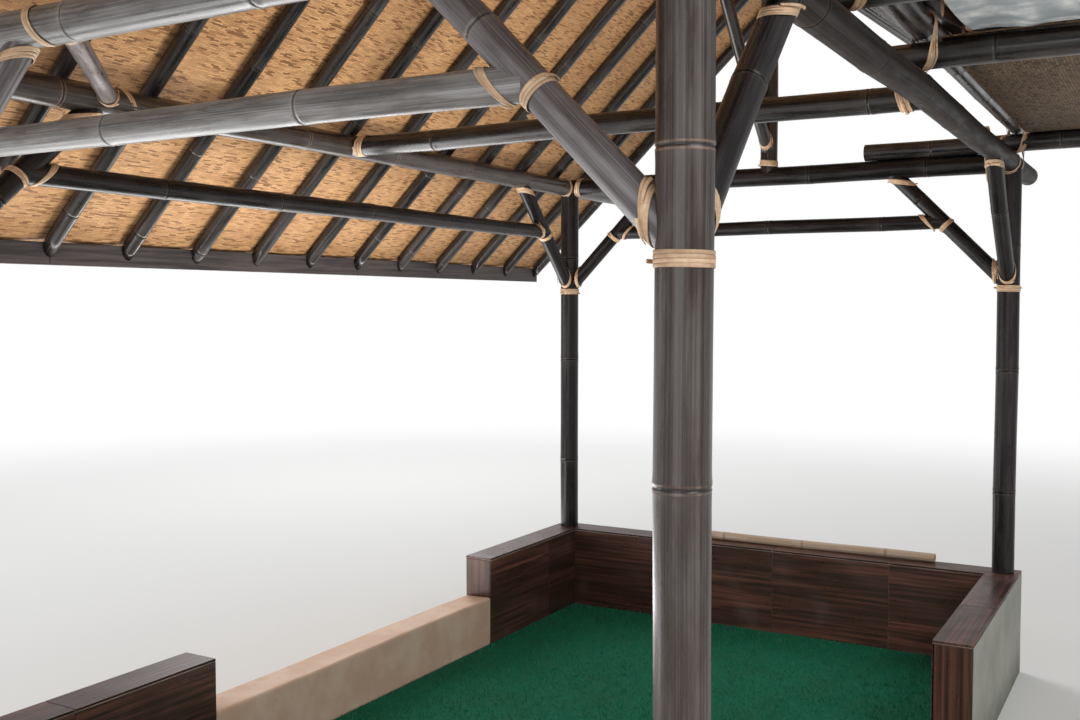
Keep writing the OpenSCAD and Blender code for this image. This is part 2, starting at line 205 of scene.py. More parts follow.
class RoofSizes(bpy.types.PropertyGroup):
    course: length("Course", "Distance between the butts of the thatch, level across the slope", 0.30)
    step: length("Step", "Step in the thatch at the butts of each course", 0.030)
    spacing: length("Clump spacing", "Distance between straw clumps along a course", 0.0165)
    straw: length("Straw", "Length of a straw clump", 0.46)
    sag: length("Mat sag", "How far the mat sags between two rafters", 0.005)
    straw_light: colour("Light straw", "Sunlit colour of the straw", (0.60, 0.49, 0.36))
    straw_dark: colour("Dark straw", "Aged colour of the straw", (0.22, 0.17, 0.12))
    mat_light: colour("Light plait", "Light strips of the mat", (0.74, 0.43, 0.20))
    mat_dark: colour("Dark plait", "Dark strips of the mat", (0.44, 0.205, 0.085))


class WallSizes(bpy.types.PropertyGroup):
    tile_l: length("Tile length", "Length of a wall tile", 0.60)
    joint: length("Joint", "Width of the joints between the tiles", 0.003)
    proud: length("Joint depth", "How far the joints lie behind the tiles", 0.003)
    chamfer: length("Tile edge", "Rounding of the edges of a tile", 0.0016)
    glaze_dark: colour("Dark glaze", "Dark grain of the tiles", (0.034, 0.017, 0.013))
    glaze_red: colour("Red glaze", "Red grain of the tiles", (0.160, 0.064, 0.045))
    grout: colour("Grout", "Colour of the joints", (0.24, 0.185, 0.16))
    render: colour("Cement", "Colour of the cement render", (0.27, 0.275, 0.245))
    kerb: colour("Kerb", "Colour of the painted kerb", (0.68, 0.47, 0.35))


class TurfSizes(bpy.types.PropertyGroup):
    pile: length("Pile", "Length of the blades", 0.016)
    density: amount("Density", "Blades to the square metre", 7000, min=10)
    blade: colour("Blade", "Colour of the blades", (0.014, 0.185, 0.108))
    backing: colour("Backing", "Colour of the backing between the blades", (0.012, 0.148, 0.085))


class SheetSizes(bpy.types.PropertyGroup):
    crease: length("Crease", "Height of the creases of the loose sheet", 0.012)
    sag: length("Sag", "How far the loose sheet sags between two outriggers", 0.016)
    film: colour("Film", "Colour of the loose sheet", (0.25, 0.275, 0.29))


class StageSettings(bpy.types.PropertyGroup):
    lens: amount("Lens", "Focal length on a 36 mm wide sensor", 37.95)
    key: amount("Key", "Strength of the big soft lamp", 270.0)
    sky: amount("Sky", "Strength of the plain light from all round", 0.45)
    ground: colour("Floor", "Colour of the floor", (0.80, 0.80, 0.79))


GROUPS = {
    "culms": CulmSizes,
    "lashing": LashingSizes,
    "roof": RoofSizes,
    "walls": WallSizes,
    "turf": TurfSizes,
    "sheet": SheetSizes,
    "stage": StageSettings,
}


def sizes(group):
    return getattr(bpy.context.scene, "pavilion_" + group)


# building node trees


class Bench:
    """A node tree being put together, with short calls for its nodes."""

    def __init__(self, tree):
        self.tree = tree

    def add(self, kind, feeds=None, **settings):
        node = self.tree.nodes.new(kind)
        for key, value in settings.items():
            setattr(node, key, value)
        for key, value in (feeds or {}).items():
            self.feed(node.inputs[key], value)
        return node

    def feed(self, socket, value):
        if isinstance(value, bpy.types.Node):
            value = value.outputs[0]
        if isinstance(value, bpy.types.NodeSocket):
            self.tree.links.new(value, socket)
        elif socket.type == "RGBA" and len(value) == 3:
            socket.default_value = (*value, 1)
        else:
            socket.default_value = value

    def math(self, operation, *values):
        feeds = {i: v for i, v in enumerate(values)}
        return self.add("ShaderNodeMath", feeds, operation=operation).outputs[0]

    def times(self, a, b):
        return self.math("MULTIPLY", a, b)

    def vector(self, operation, a, b=(0, 0, 0)):
        node = self.add("ShaderNodeVectorMath", {0: a, 1: b}, operation=operation)
        return node.outputs[1 if operation in {"LENGTH", "DOT_PRODUCT"} else 0]

    def scaled(self, a, factor):
        return self.add(
            "ShaderNodeVectorMath", {0: a, "Scale": factor}, operation="SCALE"
        ).outputs[0]

    def joined(self, x=0.0, y=0.0, z=0.0):
        return self.add("ShaderNodeCombineXYZ", {0: x, 1: y, 2: z}).outputs[0]

    def parts(self, vector):
        return self.add("ShaderNodeSeparateXYZ", {0: vector}).outputs

    def blend(self, factor, a, b, mode="MIX"):
        node = self.add("ShaderNodeMix", data_type="RGBA", blend_type=mode)
        for key, value in ((0, factor), (6, a), (7, b)):
            self.feed(node.inputs[key], value)
        return node.outputs[2]

    def tint(self, body, tone, mask, start, end, most=1.0):
        """Blends a colour in where the mask rises from start to end."""
        return self.blend(self.ramp(mask, start, end, 0.0, most), body, tone)

    def shaded(self, body, tone, least, most):
        """Darkens or lightens a colour by a tone between 0 and 1."""
        shade = self.ramp(tone, 0.0, 1.0, least, most, smooth=False)
        return self.blend(1.0, body, self.joined(shade, shade, shade), "MULTIPLY")

    def ramp(self, value, low_in, high_in, low_out=0.0, high_out=1.0, smooth=True):
        kind = "SMOOTHSTEP" if smooth else "LINEAR"
        node = self.add(
            "ShaderNodeMapRange",
            {0: value, 1: low_in, 2: high_in, 3: low_out, 4: high_out},
            interpolation_type=kind,
        )
        return node.outputs[0]

    def noise(self, vector, scale=5.0, detail=3.0, rough=0.55, warp=0.0):
        node = self.add(
            "ShaderNodeTexNoise",
            {"Vector": vector, "Scale": scale, "Detail": detail, "Roughness": rough},
        )
        node.inputs["Distortion"].default_value = warp
        return node.outputs[0]

    def gathered(self, kind, *geometries):
        """A node that takes several geometries in one socket."""
        node = self.add(kind)
        for geometry in geometries:
            self.feed(node.inputs[0], geometry)
        return node

    def shape(self, item):
        return self.add("GeometryNodeObjectInfo", {"Object": item}).outputs["Geometry"]

    def named(self, key, kind="FLOAT"):
        return self.add("GeometryNodeInputNamedAttribute", {"Name": key}, data_type=kind)

    def stored(self, geometry, key, value, kind="FLOAT", **more):
        feeds = {"Geometry": geometry, "Name": key, "Value": value}
        return self.add("GeometryNodeStoreNamedAttribute", feeds, data_type=kind, **more)

    def dressed(self, geometry, material):
        return self.add("GeometryNodeSetMaterial", {"Geometry": geometry, "Material": material})


def group_tree(name, kind, inputs, outputs):
    """A node group with named sockets. Each is (name, type) or (name, type, default)."""
    tree = bpy.data.node_groups.new(name, kind)
    for direction, rows in (("INPUT", inputs), ("OUTPUT", outputs)):
        for row in rows:
            socket = tree.interface.new_socket(
                row[0], in_out=direction, socket_type="NodeSocket" + row[1]
            )
            if len(row) > 2:
                socket.default_value = row[2]
    bench = Bench(tree)
    return bench, bench.add("NodeGroupInput").outputs, bench.add("NodeGroupOutput")


def geometry_tree(name, *inputs):
    return group_tree(name, "GeometryNodeTree", inputs, [("Mesh", "Geometry")])


def shader_group(name, inputs, outputs, build):
    """A shader node group, built once."""
    if name not in bpy.data.node_groups:
        bench, given, out = group_tree(name, "ShaderNodeTree", inputs, outputs)
        for key, value in build(bench, given).items():
            bench.feed(out.inputs[key], value)
    return bpy.data.node_groups[name]


def finish_for(name, build, rough=0.5, gloss=0.5, coat=0.0, coat_rough=0.03):
    """A material whose build function returns what feeds the surface's sockets."""
    material = bpy.data.materials.get(name)
    if material:
        return material
    material = bpy.data.materials.new(name)
    material.use_nodes = True
    bench = Bench(material.node_tree)
    surface = material.node_tree.nodes["Principled BSDF"]
    surface.inputs["Roughness"].default_value = rough
    surface.inputs["Specular IOR Level"].default_value = gloss
    surface.inputs["Coat Weight"].default_value = coat
    surface.inputs["Coat Roughness"].default_value = coat_rough
    for key, value in build(bench).items():
        if key == "Height":
            strength, distance, height = value
            bump = bench.add("ShaderNodeBump", {"Height": height})
            bump.inputs["Strength"].default_value = strength
            bump.inputs["Distance"].default_value = distance
            bench.feed(surface.inputs["Normal"], bump)
        else:
            bench.feed(surface.inputs[key], value)
    return material


def placed(bench, tree, **feeds):
    """One use of a shader group in a material."""
    node = bench.add("ShaderNodeGroup")
    node.node_tree = tree
    for key, value in feeds.items():
        bench.feed(node.inputs[key], value)
    return node.outputs


def attribute(bench, name, output="Fac"):
    node = bench.add("ShaderNodeAttribute", attribute_type="GEOMETRY", attribute_name=name)
    return node.outputs[output]


def object_place(bench):
    return bench.add("ShaderNodeTexCoord").outputs["Object"]


# making and finishing pieces


def link(name, mesh):
    piece = bpy.data.objects.new(name, mesh)
    bpy.context.scene.collection.objects.link(piece)
    return piece


def grow(name, mesh, tree, values=None):
    """Runs a geometry tree on a mesh and keeps the plain result as a piece."""
    piece = link(name, mesh)
    modifier = piece.modifiers.new("shape", "NODES")
    modifier.node_group = tree
    for item in tree.interface.items_tree:
        if item.in_out == "INPUT" and item.name in (values or {}):
            modifier[item.identifier] = values[item.name]
    view = bpy.context.evaluated_depsgraph_get()
    view.update()
    result = bpy.data.meshes.new_from_object(
        piece.evaluated_get(view), preserve_all_data_layers=True, depsgraph=view
    )
    piece.modifiers.clear()
    piece.data = result
    result.name = name
    return piece


def keep(piece, slot, *nodes):
    """Puts the finished piece on its body and hides the nodes it stands for; the slot is not used."""
    if not len(piece.data.polygons):
        raise ValueError(piece.name + " came out empty")
    # loose ends stay inside the pavilion's own box, with the thickness that is still to come
    inset = max([m.thickness / 2 for m in piece.modifiers if m.type == "SOLIDIFY"], default=0.0)
    spots = np.empty(len(piece.data.vertices) * 3, np.float32)
    piece.data.vertices.foreach_get("co", spots)
    spots = np.clip(spots.reshape(-1, 3), np.array(CAD_BOX[0]) + inset, np.array(CAD_BOX[1]) - inset)
    piece.data.vertices.foreach_set("co", spots.ravel())
    piece.data.update()
    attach(piece, "root")
    if nodes:
        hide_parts(*nodes)
    return piece


def paint(node, material):
    """Gives a carried-over solid its finish."""
    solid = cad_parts[node]
    if not solid.material_slots:
        solid.data.materials.append(material)
    for slot in solid.material_slots:
        slot.material = material


def plain_mesh(name, bm):
    """The mesh that a bmesh holds; the bmesh is freed."""
    mesh = bpy.data.meshes.new(name)
    bm.to_mesh(mesh)
    bm.free()
    return mesh


def add_box(bm, one, two):
    """Box between two corners."""
    for v in bmesh.ops.create_cube(bm, size=1.0)["verts"]:
        v.co = [one[i] if v.co[i] < 0 else two[i] for i in range(3)]


def store(mesh, key, column):
    """Stores a number or a vector for every point of a mesh."""
    kind, field = ("FLOAT_VECTOR", "vector") if np.ndim(column[0]) else ("FLOAT", "value")
    layer = mesh.attributes.new(key, kind, "POINT")
    layer.data.foreach_set(field, np.array(column, np.float32).ravel())


def edge_mesh(name, rows, values):
    """A mesh of separate lines: rows of points, and named values for every point."""
    points, edges = [], []
    for row, closed in rows:
        start = len(points)
        points += [tuple(p) for p in row]
        edges += [(start + i, start + i + 1) for i in range(len(row) - 1)]
        if closed:
            edges.append((start + len(row) - 1, start))
    mesh = bpy.data.meshes.new(name)
    mesh.from_pydata(points, edges, [])
    for key, column in values.items():
        store(mesh, key, column)
    return mesh


def soften(piece, width, segments, angle=None):
    """Rounds a piece's edges, all of them or those sharper than an angle."""
    bevel = piece.modifiers.new("edges", "BEVEL")
    bevel.width, bevel.segments = width, segments
    if angle:
        bevel.angle_limit = angle


def side_ways(axis):
    """Two directions square to an axis and to each other."""
    axis = axis.normalized()
    other = Vector((0, 0, 1)) if abs(axis.z) < 0.9 else Vector((0, 1, 0))
    u = axis.cross(other).normalized()
    return u, axis.cross(u).normalized()


# bamboo


FIGURE = ("Streak", "Patch", "Scar", "Lip", "Bloom", "Tone")


def culm_figure(bench, given):
    """Streaks along the skin, mottling, and the lines and bloom of each knot."""
    rim = attribute(bench, "rim", "Vector")
    along, distance, side, tone = (attribute(bench, key) for key in ("along", "knot", "side", "tone"))
    x, y, _ = bench.parts(rim)

    def skin(around, lengthwise):
        return bench.joined(
            bench.times(x, around),
            bench.times(y, around),
            bench.math("MULTIPLY_ADD", along, lengthwise, bench.times(tone, 40.0)),
        )

    fine = bench.noise(skin(13.0, 0.8), 1.0, 5.0, 0.66)
    broad = bench.noise(skin(2.6, 0.45), 1.0, 3.0, 0.5)
    patch = bench.noise(skin(1.5, 5.0), 1.0, 4.0, 0.6)
    streak = bench.math("ADD", bench.times(fine, 0.62), bench.times(broad, 0.38))
    below = bench.math("LESS_THAN", side, 0.0)
    scar = bench.ramp(distance, 0.0014, 0.0034, 1.0, 0.0)
    off_lip = bench.math("ABSOLUTE", bench.math("SUBTRACT", distance, 0.0062))
    lip = bench.ramp(off_lip, 0.0008, 0.0030, 1.0, 0.0)
    lip = bench.times(lip, bench.ramp(patch, 0.40, 0.56, 0.25, 1.0))
    bloom = bench.times(bench.ramp(distance, 0.004, 0.055, 1.0, 0.0), below)
    return dict(zip(FIGURE, (streak, patch, scar, lip, bloom, tone)))


def culm_skin(name, dark, warm, grey, pale, rough, weather, gloss=1.0):
    """Bamboo skin: dark, warm and grey streaks, with dark scars and pale lips at the knots."""

    def build(bench):
        outputs = [(key, "Float") for key in FIGURE]
        f = placed(bench, shader_group("Culm figure", [], outputs, culm_figure))
        skin = bench.tint(dark, warm, f["Streak"], 0.40, 0.61)
        wear = bench.times(bench.ramp(f["Patch"], 0.36, 0.70), weather)
        fine = bench.ramp(f["Streak"], 0.45, 0.58)
        wear = bench.times(wear, bench.math("MULTIPLY_ADD", fine, 0.70, 0.30))
        skin = bench.blend(wear, skin, grey)
        skin = bench.shaded(skin, f["Tone"], 0.72, 1.28)
        skin = bench.blend(bench.times(f["Bloom"], 0.20), skin, grey)
        skin = bench.blend(bench.times(f["Lip"], 0.45), skin, pale)
        skin = bench.blend(bench.times(f["Scar"], 0.80), skin, [c * 0.5 for c in dark])
        height = bench.math("SUBTRACT", f["Streak"], bench.times(f["Scar"], 0.5))
        return {
            "Base Color": skin,
            "Roughness": bench.ramp(f["Patch"], 0.3, 0.75, rough, rough + 0.24),
            "Height": (0.22, 0.002, height),
        }

    return finish_for(name, build, rough, 0.5 * gloss, coat=0.12 * gloss, coat_rough=0.22)


def cut_bamboo():
    """Sawn culm end: pale, with fine dark fibre dots and a dusty hollow."""

    def build(bench):
        place = object_place(bench)
        fibre = bench.noise(place, 900.0, 2.0)
        stain = bench.noise(place, 40.0, 4.0)
        body = bench.tint(sizes("culms").cut, (0.20, 0.12, 0.065), fibre, 0.5, 0.62)
        body = bench.tint(body, (0.11, 0.075, 0.05), stain, 0.45, 0.7, 0.65)
        return {"Base Color": body, "Height": (0.3, 0.002, fibre)}

    return finish_for("cut_bamboo", build, 0.72)


# finish of each kind of culm: its darkest, warm, weathered and pale colours, then how rough, weathered and
# glossy it is; the dark kind has its first three colours in the sizes and colours; some kinds are darker or
# lighter copies of the same bamboo, with painted shade or a painted reflection, as marked below
SKINS = {
    # very dark copy of the dark bamboo for the members of the far gable and the long sides: painted shade
    "black": (
        ((0.005, 0.005, 0.006), (0.018, 0.013, 0.012), (0.060, 0.053, 0.052), (0.090, 0.065, 0.050)),
        (0.20, 0.5, 0.45),
    ),
    # darker, dull copy of the dark bamboo for the side plate: painted shade
    "shaded": (
        ((0.012, 0.009, 0.008), (0.044, 0.031, 0.026), (0.085, 0.068, 0.060), (0.11, 0.075, 0.055)),
        (0.42, 0.5, 0.15),
    ),
    "dark": ((None, None, None, (0.120, 0.090, 0.072)), (0.19, 0.55, 1.0)),
    "post": (
        ((0.015, 0.010, 0.009), (0.066, 0.043, 0.034), (0.136, 0.122, 0.114), (0.42, 0.27, 0.18)),
        (0.23, 0.8, 1.0),
    ),
    "lean": (
        ((0.048, 0.040, 0.041), (0.128, 0.106, 0.106), (0.255, 0.240, 0.246), (0.30, 0.24, 0.21)),
        (0.25, 0.9, 1.0),
    ),
    # lighter grey copy for the near tie and plate: weathered grey with a painted sky reflection and haze
    "silver": (
        ((0.085, 0.078, 0.076), (0.205, 0.188, 0.180), (0.40, 0.39, 0.385), (0.40, 0.34, 0.30)),
        (0.22, 1.0, 1.0),
    ),
    "bleached": (
        ((0.34, 0.24, 0.16), (0.56, 0.42, 0.30), (0.66, 0.56, 0.47), (0.20, 0.13, 0.09)),
        (0.36, 0.8, 1.0),
    ),
}


def skin(kind):
    """Skin of one kind of culm."""
    c = sizes("culms")
    colours, surface = SKINS[kind]
    colours = [own or common for own, common in zip(colours, (c.dark, c.warm, c.grey, None))]
    return culm_skin(kind + "_culm_skin", *colours, *surface)


def cut_end_mesh():
    """End of a culm of radius one: the sawn ring, the wall of the hollow and its back."""
    rings = [(1.0, 0.0), (0.97, 0.012), (0.79, 0.012), (0.77, -0.04), (0.74, -1.3)]
    sides = 20
    turns = [2 * math.pi * i / sides for i in range(sides)]
    bm = bmesh.new()
    loops = [[bm.verts.new((r * math.cos(a), r * math.sin(a), z)) for a in turns] for r, z in rings]
    for one, two in zip(loops, loops[1:]):
        for i in range(sides):
            bm.faces.new((one[i], one[(i + 1) % sides], two[(i + 1) % sides], two[i]))
    bm.faces.new(loops[-1])
    return plain_mesh("cut_end", bm)


def culm_tree(skin, cut):
    """Sweeps a ring along each line, as wide as its girth, and closes cut ends."""
    name = "Culm " + skin.name
    if name in bpy.data.node_groups:
        return bpy.data.node_groups[name]
    inputs = ("Lines", "Geometry"), ("Sides", "Int", 24), ("Cut end", "Object")
    bench, given, out = geometry_tree(name, *inputs)
    curve = bench.add("GeometryNodeMeshToCurve", {0: given["Lines"]})
    ring = bench.add("GeometryNodeCurvePrimitiveCircle", {"Resolution": given["Sides"], "Radius": 1.0})
    rim = bench.stored(ring, "rim", bench.add("GeometryNodeInputPosition"), "FLOAT_VECTOR")
    body = bench.add(
        "GeometryNodeCurveToMesh", {"Curve": curve, "Profile Curve": rim, "Scale": bench.named("girth")}
    )
    body = bench.dressed(bench.add("GeometryNodeSetShadeSmooth", {"Geometry": body}), skin)

    ends = bench.add("GeometryNodeCurveEndpointSelection", {"Start Size": 1, "End Size": 1})
    start = bench.add("GeometryNodeCurveEndpointSelection", {"Start Size": 1, "End Size": 0})
    open_end = bench.add(
        "FunctionNodeCompare", {0: bench.named("open"), 1: 0.5}, data_type="FLOAT", operation="GREATER_THAN"
    )
    chosen = bench.add("FunctionNodeBooleanMath", {0: ends, 1: open_end}, operation="AND")
    way = bench.scaled(
        bench.add("GeometryNodeInputTangent").outputs[0], bench.math("MULTIPLY_ADD", start, -2.0, 1.0)
    )
    turn = bench.add("FunctionNodeAlignRotationToVector", {"Vector": way}, axis="Z")
    caps = bench.add(
        "GeometryNodeInstanceOnPoints",
        {
            "Points": curve,
            "Selection": chosen,
            "Instance": bench.shape(given["Cut end"]),
            "Rotation": turn,
            "Scale": bench.named("girth"),
        },
    )
    both = bench.gathered("GeometryNodeJoinGeometry", body, bench.dressed(caps, cut))
    solid = bench.add("GeometryNodeRealizeInstances", {0: both})
    bench.feed(out.inputs[0], solid)
    return bench.tree


# a knot along the culm: distance from its groove, and the share of the ridge's height or, below
# zero, of the groove's depth
KNOT = (
    *((-0.026, 0.0), (-0.010, 0.35), (-0.0035, 0.85)),
    *((-0.0012, -0.4), (0.0012, -0.75)),
    *((0.0045, 0.8), (0.009, 1.0), (0.016, 0.4), (0.030, 0.0)),
)
# stands for the nearest knot of a culm without one
NO_KNOT = 9.0
# what each point of a culm's line carries
CULM_FACTS = ("girth", "along", "knot", "side", "tone", "open")


def culm_line(a, b, radius, first, gap, seed, open_a=False, open_b=False, wander=1.0):
    """Points and facts along one culm: dense at its knots, with a slight wander."""
    c = sizes("culms")
    rng = random.Random(seed)
    a, b = Vector(a), Vector(b)
    span = (b - a).length
    way = (b - a) / span
    u, v = side_ways(way)
    knots = []
    k = first
    while k < span - 0.02:
        knots.append(k)
        k += gap
    marks = {0.0: 0, span: 0}
    for k in knots:
        for step, rise in KNOT:
            if 0.002 < k + step < span - 0.002:
                marks[k + step] = rise
    edges = [0.0, *knots, span]
    for one, two in zip(edges, edges[1:]):
        count = max(1, round((two - one) / 0.11))
        for i in range(1, count):
            s = one + (two - one) * i / count
            if min(abs(s - k) for k in edges) > 0.034:
                marks[s] = 0
    bends = [(s, rng.gauss(0, 1), rng.gauss(0, 1)) for s in knots]
    bends = [(0.0, 0, 0), *bends, (span, 0, 0)]
    places = [e[0] for e in bends]
    tone = rng.random()
    points, facts = [], []
    for s in sorted(marks):
        off = [np.interp(s, places, [e[i] for e in bends]) * c.wander * wander for i in (1, 2)]
        points.append(a + way * s + u * off[0] + v * off[1])
        rise = marks[s]
        step = rise * (c.ridge if rise > 0 else c.scar) * min(1.0, radius / 0.04)
        near = min(knots, key=lambda k: abs(k - s), default=NO_KNOT)
        waist = 0.010 * math.sin(math.pi * min(1.0, abs(s - near) / gap)) ** 2
        girth = radius * (1 - waist) + step
        side = 1.0 if s > near else -1.0
        facts.append([girth, s + seed * 3.7, min(0.08, abs(s - near)), side, tone, 0.0])
    facts[0][-1] = float(open_a)
    facts[-1][-1] = float(open_b)
    return points, facts


def culms(name, node, lines, kind="dark", sides=None, slot="dark_bamboo"):
    """Makes the culms of one node. Each line is what culm_line takes, without the seed."""
    rows, facts = [], []
    base = sum(ord(letter) for letter in name)
    for i, line in enumerate(lines):
        points, more = culm_line(*line[:5], base + i, *line[5:])
        rows.append((points, False))
        facts += more
    mesh = edge_mesh(name, rows, dict(zip(CULM_FACTS, zip(*facts))))
    end = link("cut_end", cut_end_mesh())
    feeds = {"Sides": sides or sizes("culms").sides, "Cut end": end}
    piece = grow(name, mesh, culm_tree(skin(kind), cut_bamboo()), feeds)
    bpy.data.objects.remove(end)
    return keep(piece, slot, node)


def brace_ends(x, y, way_x, way_y):
    """Ends of the centre line of the brace that leaves the post at x, y."""
    run, foot = BRACE_RUN, BRACE_FOOT_Z
    if x < 0 and y < 0:
        run, foot = LONG_RUN[1 if way_y else 0], LONG_FOOT_Z
    return Vector((x, y, foot)), Vector((x + way_x * run, y + way_y * run, PLATE_Z))


def brace_at(x, y, way_x, way_y, z):
    """Point of a brace's centre line at a height."""
    foot, top = brace_ends(x, y, way_x, way_y)
    return foot.lerp(top, (z - foot.z) / (top.z - foot.z))


class PAVILION_OT_posts(bpy.types.Operator):
    """Four weathered corner posts"""

    bl_idname = "pavilion.posts"
    bl_label = "Posts"

    def execute(self, context):
        for name, x, y in (
            ("post_river_near", -POST_X, NEAR_Y),
            ("post_side_near", POST_X, NEAR_Y),
            ("post_river_far", -POST_X, FAR_Y),
            ("post_side_far", POST_X, FAR_Y),
        ):
            line = ((x, y, POST_FOOT), (x, y, PLATE_Z - 0.03), POST_R, 0.387, 0.58)
            culms(name + "_culm", name, [line], "post" if y < 0 else "black", 32, "grey_bamboo")
        return {"FINISHED"}


class PAVILION_OT_braces(bpy.types.Operator):
    """Knee braces, lower ties, corner strut, king posts and ridge braces"""

    bl_idname = "pavilion.braces"
    bl_label = "Braces and ties"

    def execute(self, context):
        gap = sizes("culms").knot_gap
        x, r = POST_X, BRACE_R
        for name, y in (("near_braces", NEAR_Y), ("back_braces", FAR_Y)):
            lines = [
                (*brace_ends(s * x, y, -s, 0), r, 0.33 if s < 0 and y < 0 else 0.585, gap)
                for s in (-1, 1)
            ]
            culms(name + "_culm", name, lines, "lean" if y < 0 else "black")
        for name, side in (("river_braces", -1), ("side_braces", 1)):
            lines = [
                (*brace_ends(side * x, y, 0, s), r, 0.46, gap) for y, s in ((NEAR_Y, 1), (FAR_Y, -1))
            ]
            culms(name + "_culm", name, lines, "black")
        for name, y, first in (("near_tie", NEAR_Y, 0.54), ("back_tie", FAR_Y, 0.30)):
            ends = [brace_at(s * x, y, -s, 0, TIE_Z) for s in (-1, 1)]
            culms(name + "_culm", name, [(*ends, r, first, gap)], "silver" if y < 0 else "black")
        ends = [brace_at(-x, y, 0, s, TIE_Z) for y, s in ((NEAR_Y, 1), (FAR_Y, -1))]
        culms("river_tie_culm", "river_tie", [(*ends, r, 0.544, gap)], "black")
        run, z = STRUT_RUN, PLATE_Z
        line = ((-x, NEAR_Y + run, z), (-x + run, NEAR_Y, z), STRUT_R, 0.42, gap)
        culms("corner_strut_culm", "corner_strut", [line], "lean")
        lines = [((0, y, z), (0, y, RIDGE_Z), RIDGE_R - 0.0005, 0.40, gap) for y in (NEAR_Y, FAR_Y)]
        culms("king_post_culms", "king_posts", lines)
        foot = RIDGE_BRACE_FOOT_Z
        lines = [
            ((0, y, foot), (0, y + s * 1.0, RIDGE_Z), RIDGE_BRACE_R, 0.48, gap)
            for y, s in ((NEAR_Y, 1), (FAR_Y, -1))
        ]
        culms("ridge_brace_culms", "ridge_braces", lines)
        return {"FINISHED"}


class PAVILION_OT_plates(bpy.types.Operator):
    """Plates, mid tie, ridge beam and upper plate"""

    bl_idname = "pavilion.plates"
    bl_label = "Plates and beams"

    def execute(self, context):
        gap = sizes("culms").knot_gap
        end = ROOF_HALF + RAFTER_R
        for name, x, z, r, first, kind in (
            ("river_plate", -POST_X, PLATE_Z, PLATE_R, 0.26, "post"),
            ("side_plate", POST_X, PLATE_Z, PLATE_R, 0.41, "shaded"),
            ("ridge_beam", 0, RIDGE_Z, RIDGE_R, 0.18, "dark"),
            ("upper_plate", UPPER_X, UPPER_Z, UPPER_R, 0.33, "dark"),
        ):
            line = ((x, -end, z), (x, end, z), r, first, gap, True, True)
            culms(name + "_culm", name, [line], kind)
        for name, y in (("near_plate", NEAR_Y), ("back_plate", FAR_Y)):
            line = ((-POST_X, y, PLATE_Z), (POST_X, y, PLATE_Z), PLATE_R, 0.24, gap)
            culms(name + "_culm", name, [line], "silver" if y < 0 else "black")
        line = ((-POST_X, MID_Y, PLATE_Z), (POST_X, MID_Y, PLATE_Z), MID_R, 0.44, gap)
        culms("mid_tie_culm", "mid_tie", [line])
        return {"FINISHED"}


def cut_plumb(piece, x):
    """Cuts the culms of a piece off in the upright plane at x and closes their ends."""
    bm = bmesh.new()
    bm.from_mesh(piece.data)
    geometry = [*bm.verts, *bm.edges, *bm.faces]
    found = bmesh.ops.bisect_plane(
        bm, geom=geometry, plane_co=(x, 0, 0), plane_no=(1 if x > 0 else -1, 0, 0), clear_outer=True
    )
    rim = [item for item in found["geom_cut"] if isinstance(item, bmesh.types.BMEdge)]
    cut = len(piece.data.materials)
    for face in bmesh.ops.edgenet_fill(bm, edges=rim)["faces"]:
        face.smooth = False
        face.material_index = cut
    bm.to_mesh(piece.data)
    bm.free()
    piece.data.materials.append(cut_bamboo())


class PAVILION_OT_rafters(bpy.types.Operator):
    """Sixteen rafters on each slope"""

    bl_idname = "pavilion.rafters"
    bl_label = "Rafters"

    def execute(self, context):
        gap = sizes("culms").rafter_gap
        for slope, tail in (("river", -EAVE_X - BOARD_T), ("side", SIDE_X)):
            side, pitch, top = SLOPES[slope]
            name = slope + "_rafters"
            z = top + RAFTER_R / math.cos(pitch)
            drop = math.tan(pitch)
            # the culms run on past the plumb cut that ends them
            end = tail + 0.06
            lines = []
            for i in range(RAFTERS):
                y = -ROOF_HALF + i * RAFTER_GAP
                first = 0.10 + 0.075 * (i % 5)
                a = (side * 0.012, y, z - 0.012 * drop)
                b = (side * end, y, z - end * drop)
                lines.append((a, b, RAFTER_R, first, gap, False, False, 0.7))
            cut_plumb(culms(name + "_culms", name, lines, sides=16), side * tail)
        return {"FINISHED"}


class PAVILION_OT_outriggers(bpy.types.Operator):
    """Outriggers of the entrance side eave, and the rail on the back wall"""

    bl_idname = "pavilion.outriggers"
    bl_label = "Outriggers and rail"

    def execute(self, context):
        gap = sizes("culms").knot_gap
        lines = [
            ((0.5, y, OUT_Z), (OUT_TIP, y, OUT_Z), OUT_R, 0.32, gap, True, True)
            for y in (NEAR_Y, FAR_Y)
        ]
        culms("gable_outrigger_culms", "gable_outriggers", lines)
        lines = [
            ((POST_X - 0.075, y, OUT_Z), (OUT_TIP, y, OUT_Z), OUT_R, 0.31, gap, True, True)
            for y in OUT_Y[1:3]
        ]
        culms("side_outrigger_culms", "side_outriggers", lines)
        one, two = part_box("wall_rail")
        y, z, r = (one.y + two.y) / 2, (one.z + two.z) / 2, (two.z - one.z) / 2
        line = ((one.x, y, z), (two.x, y, z), r, 0.2, 0.43, True, True, 0.5)
        culms("wall_rail_culm", "wall_rail", [line], "bleached", 20, "pale_bamboo")
        return {"FINISHED"}


# rattan lashings


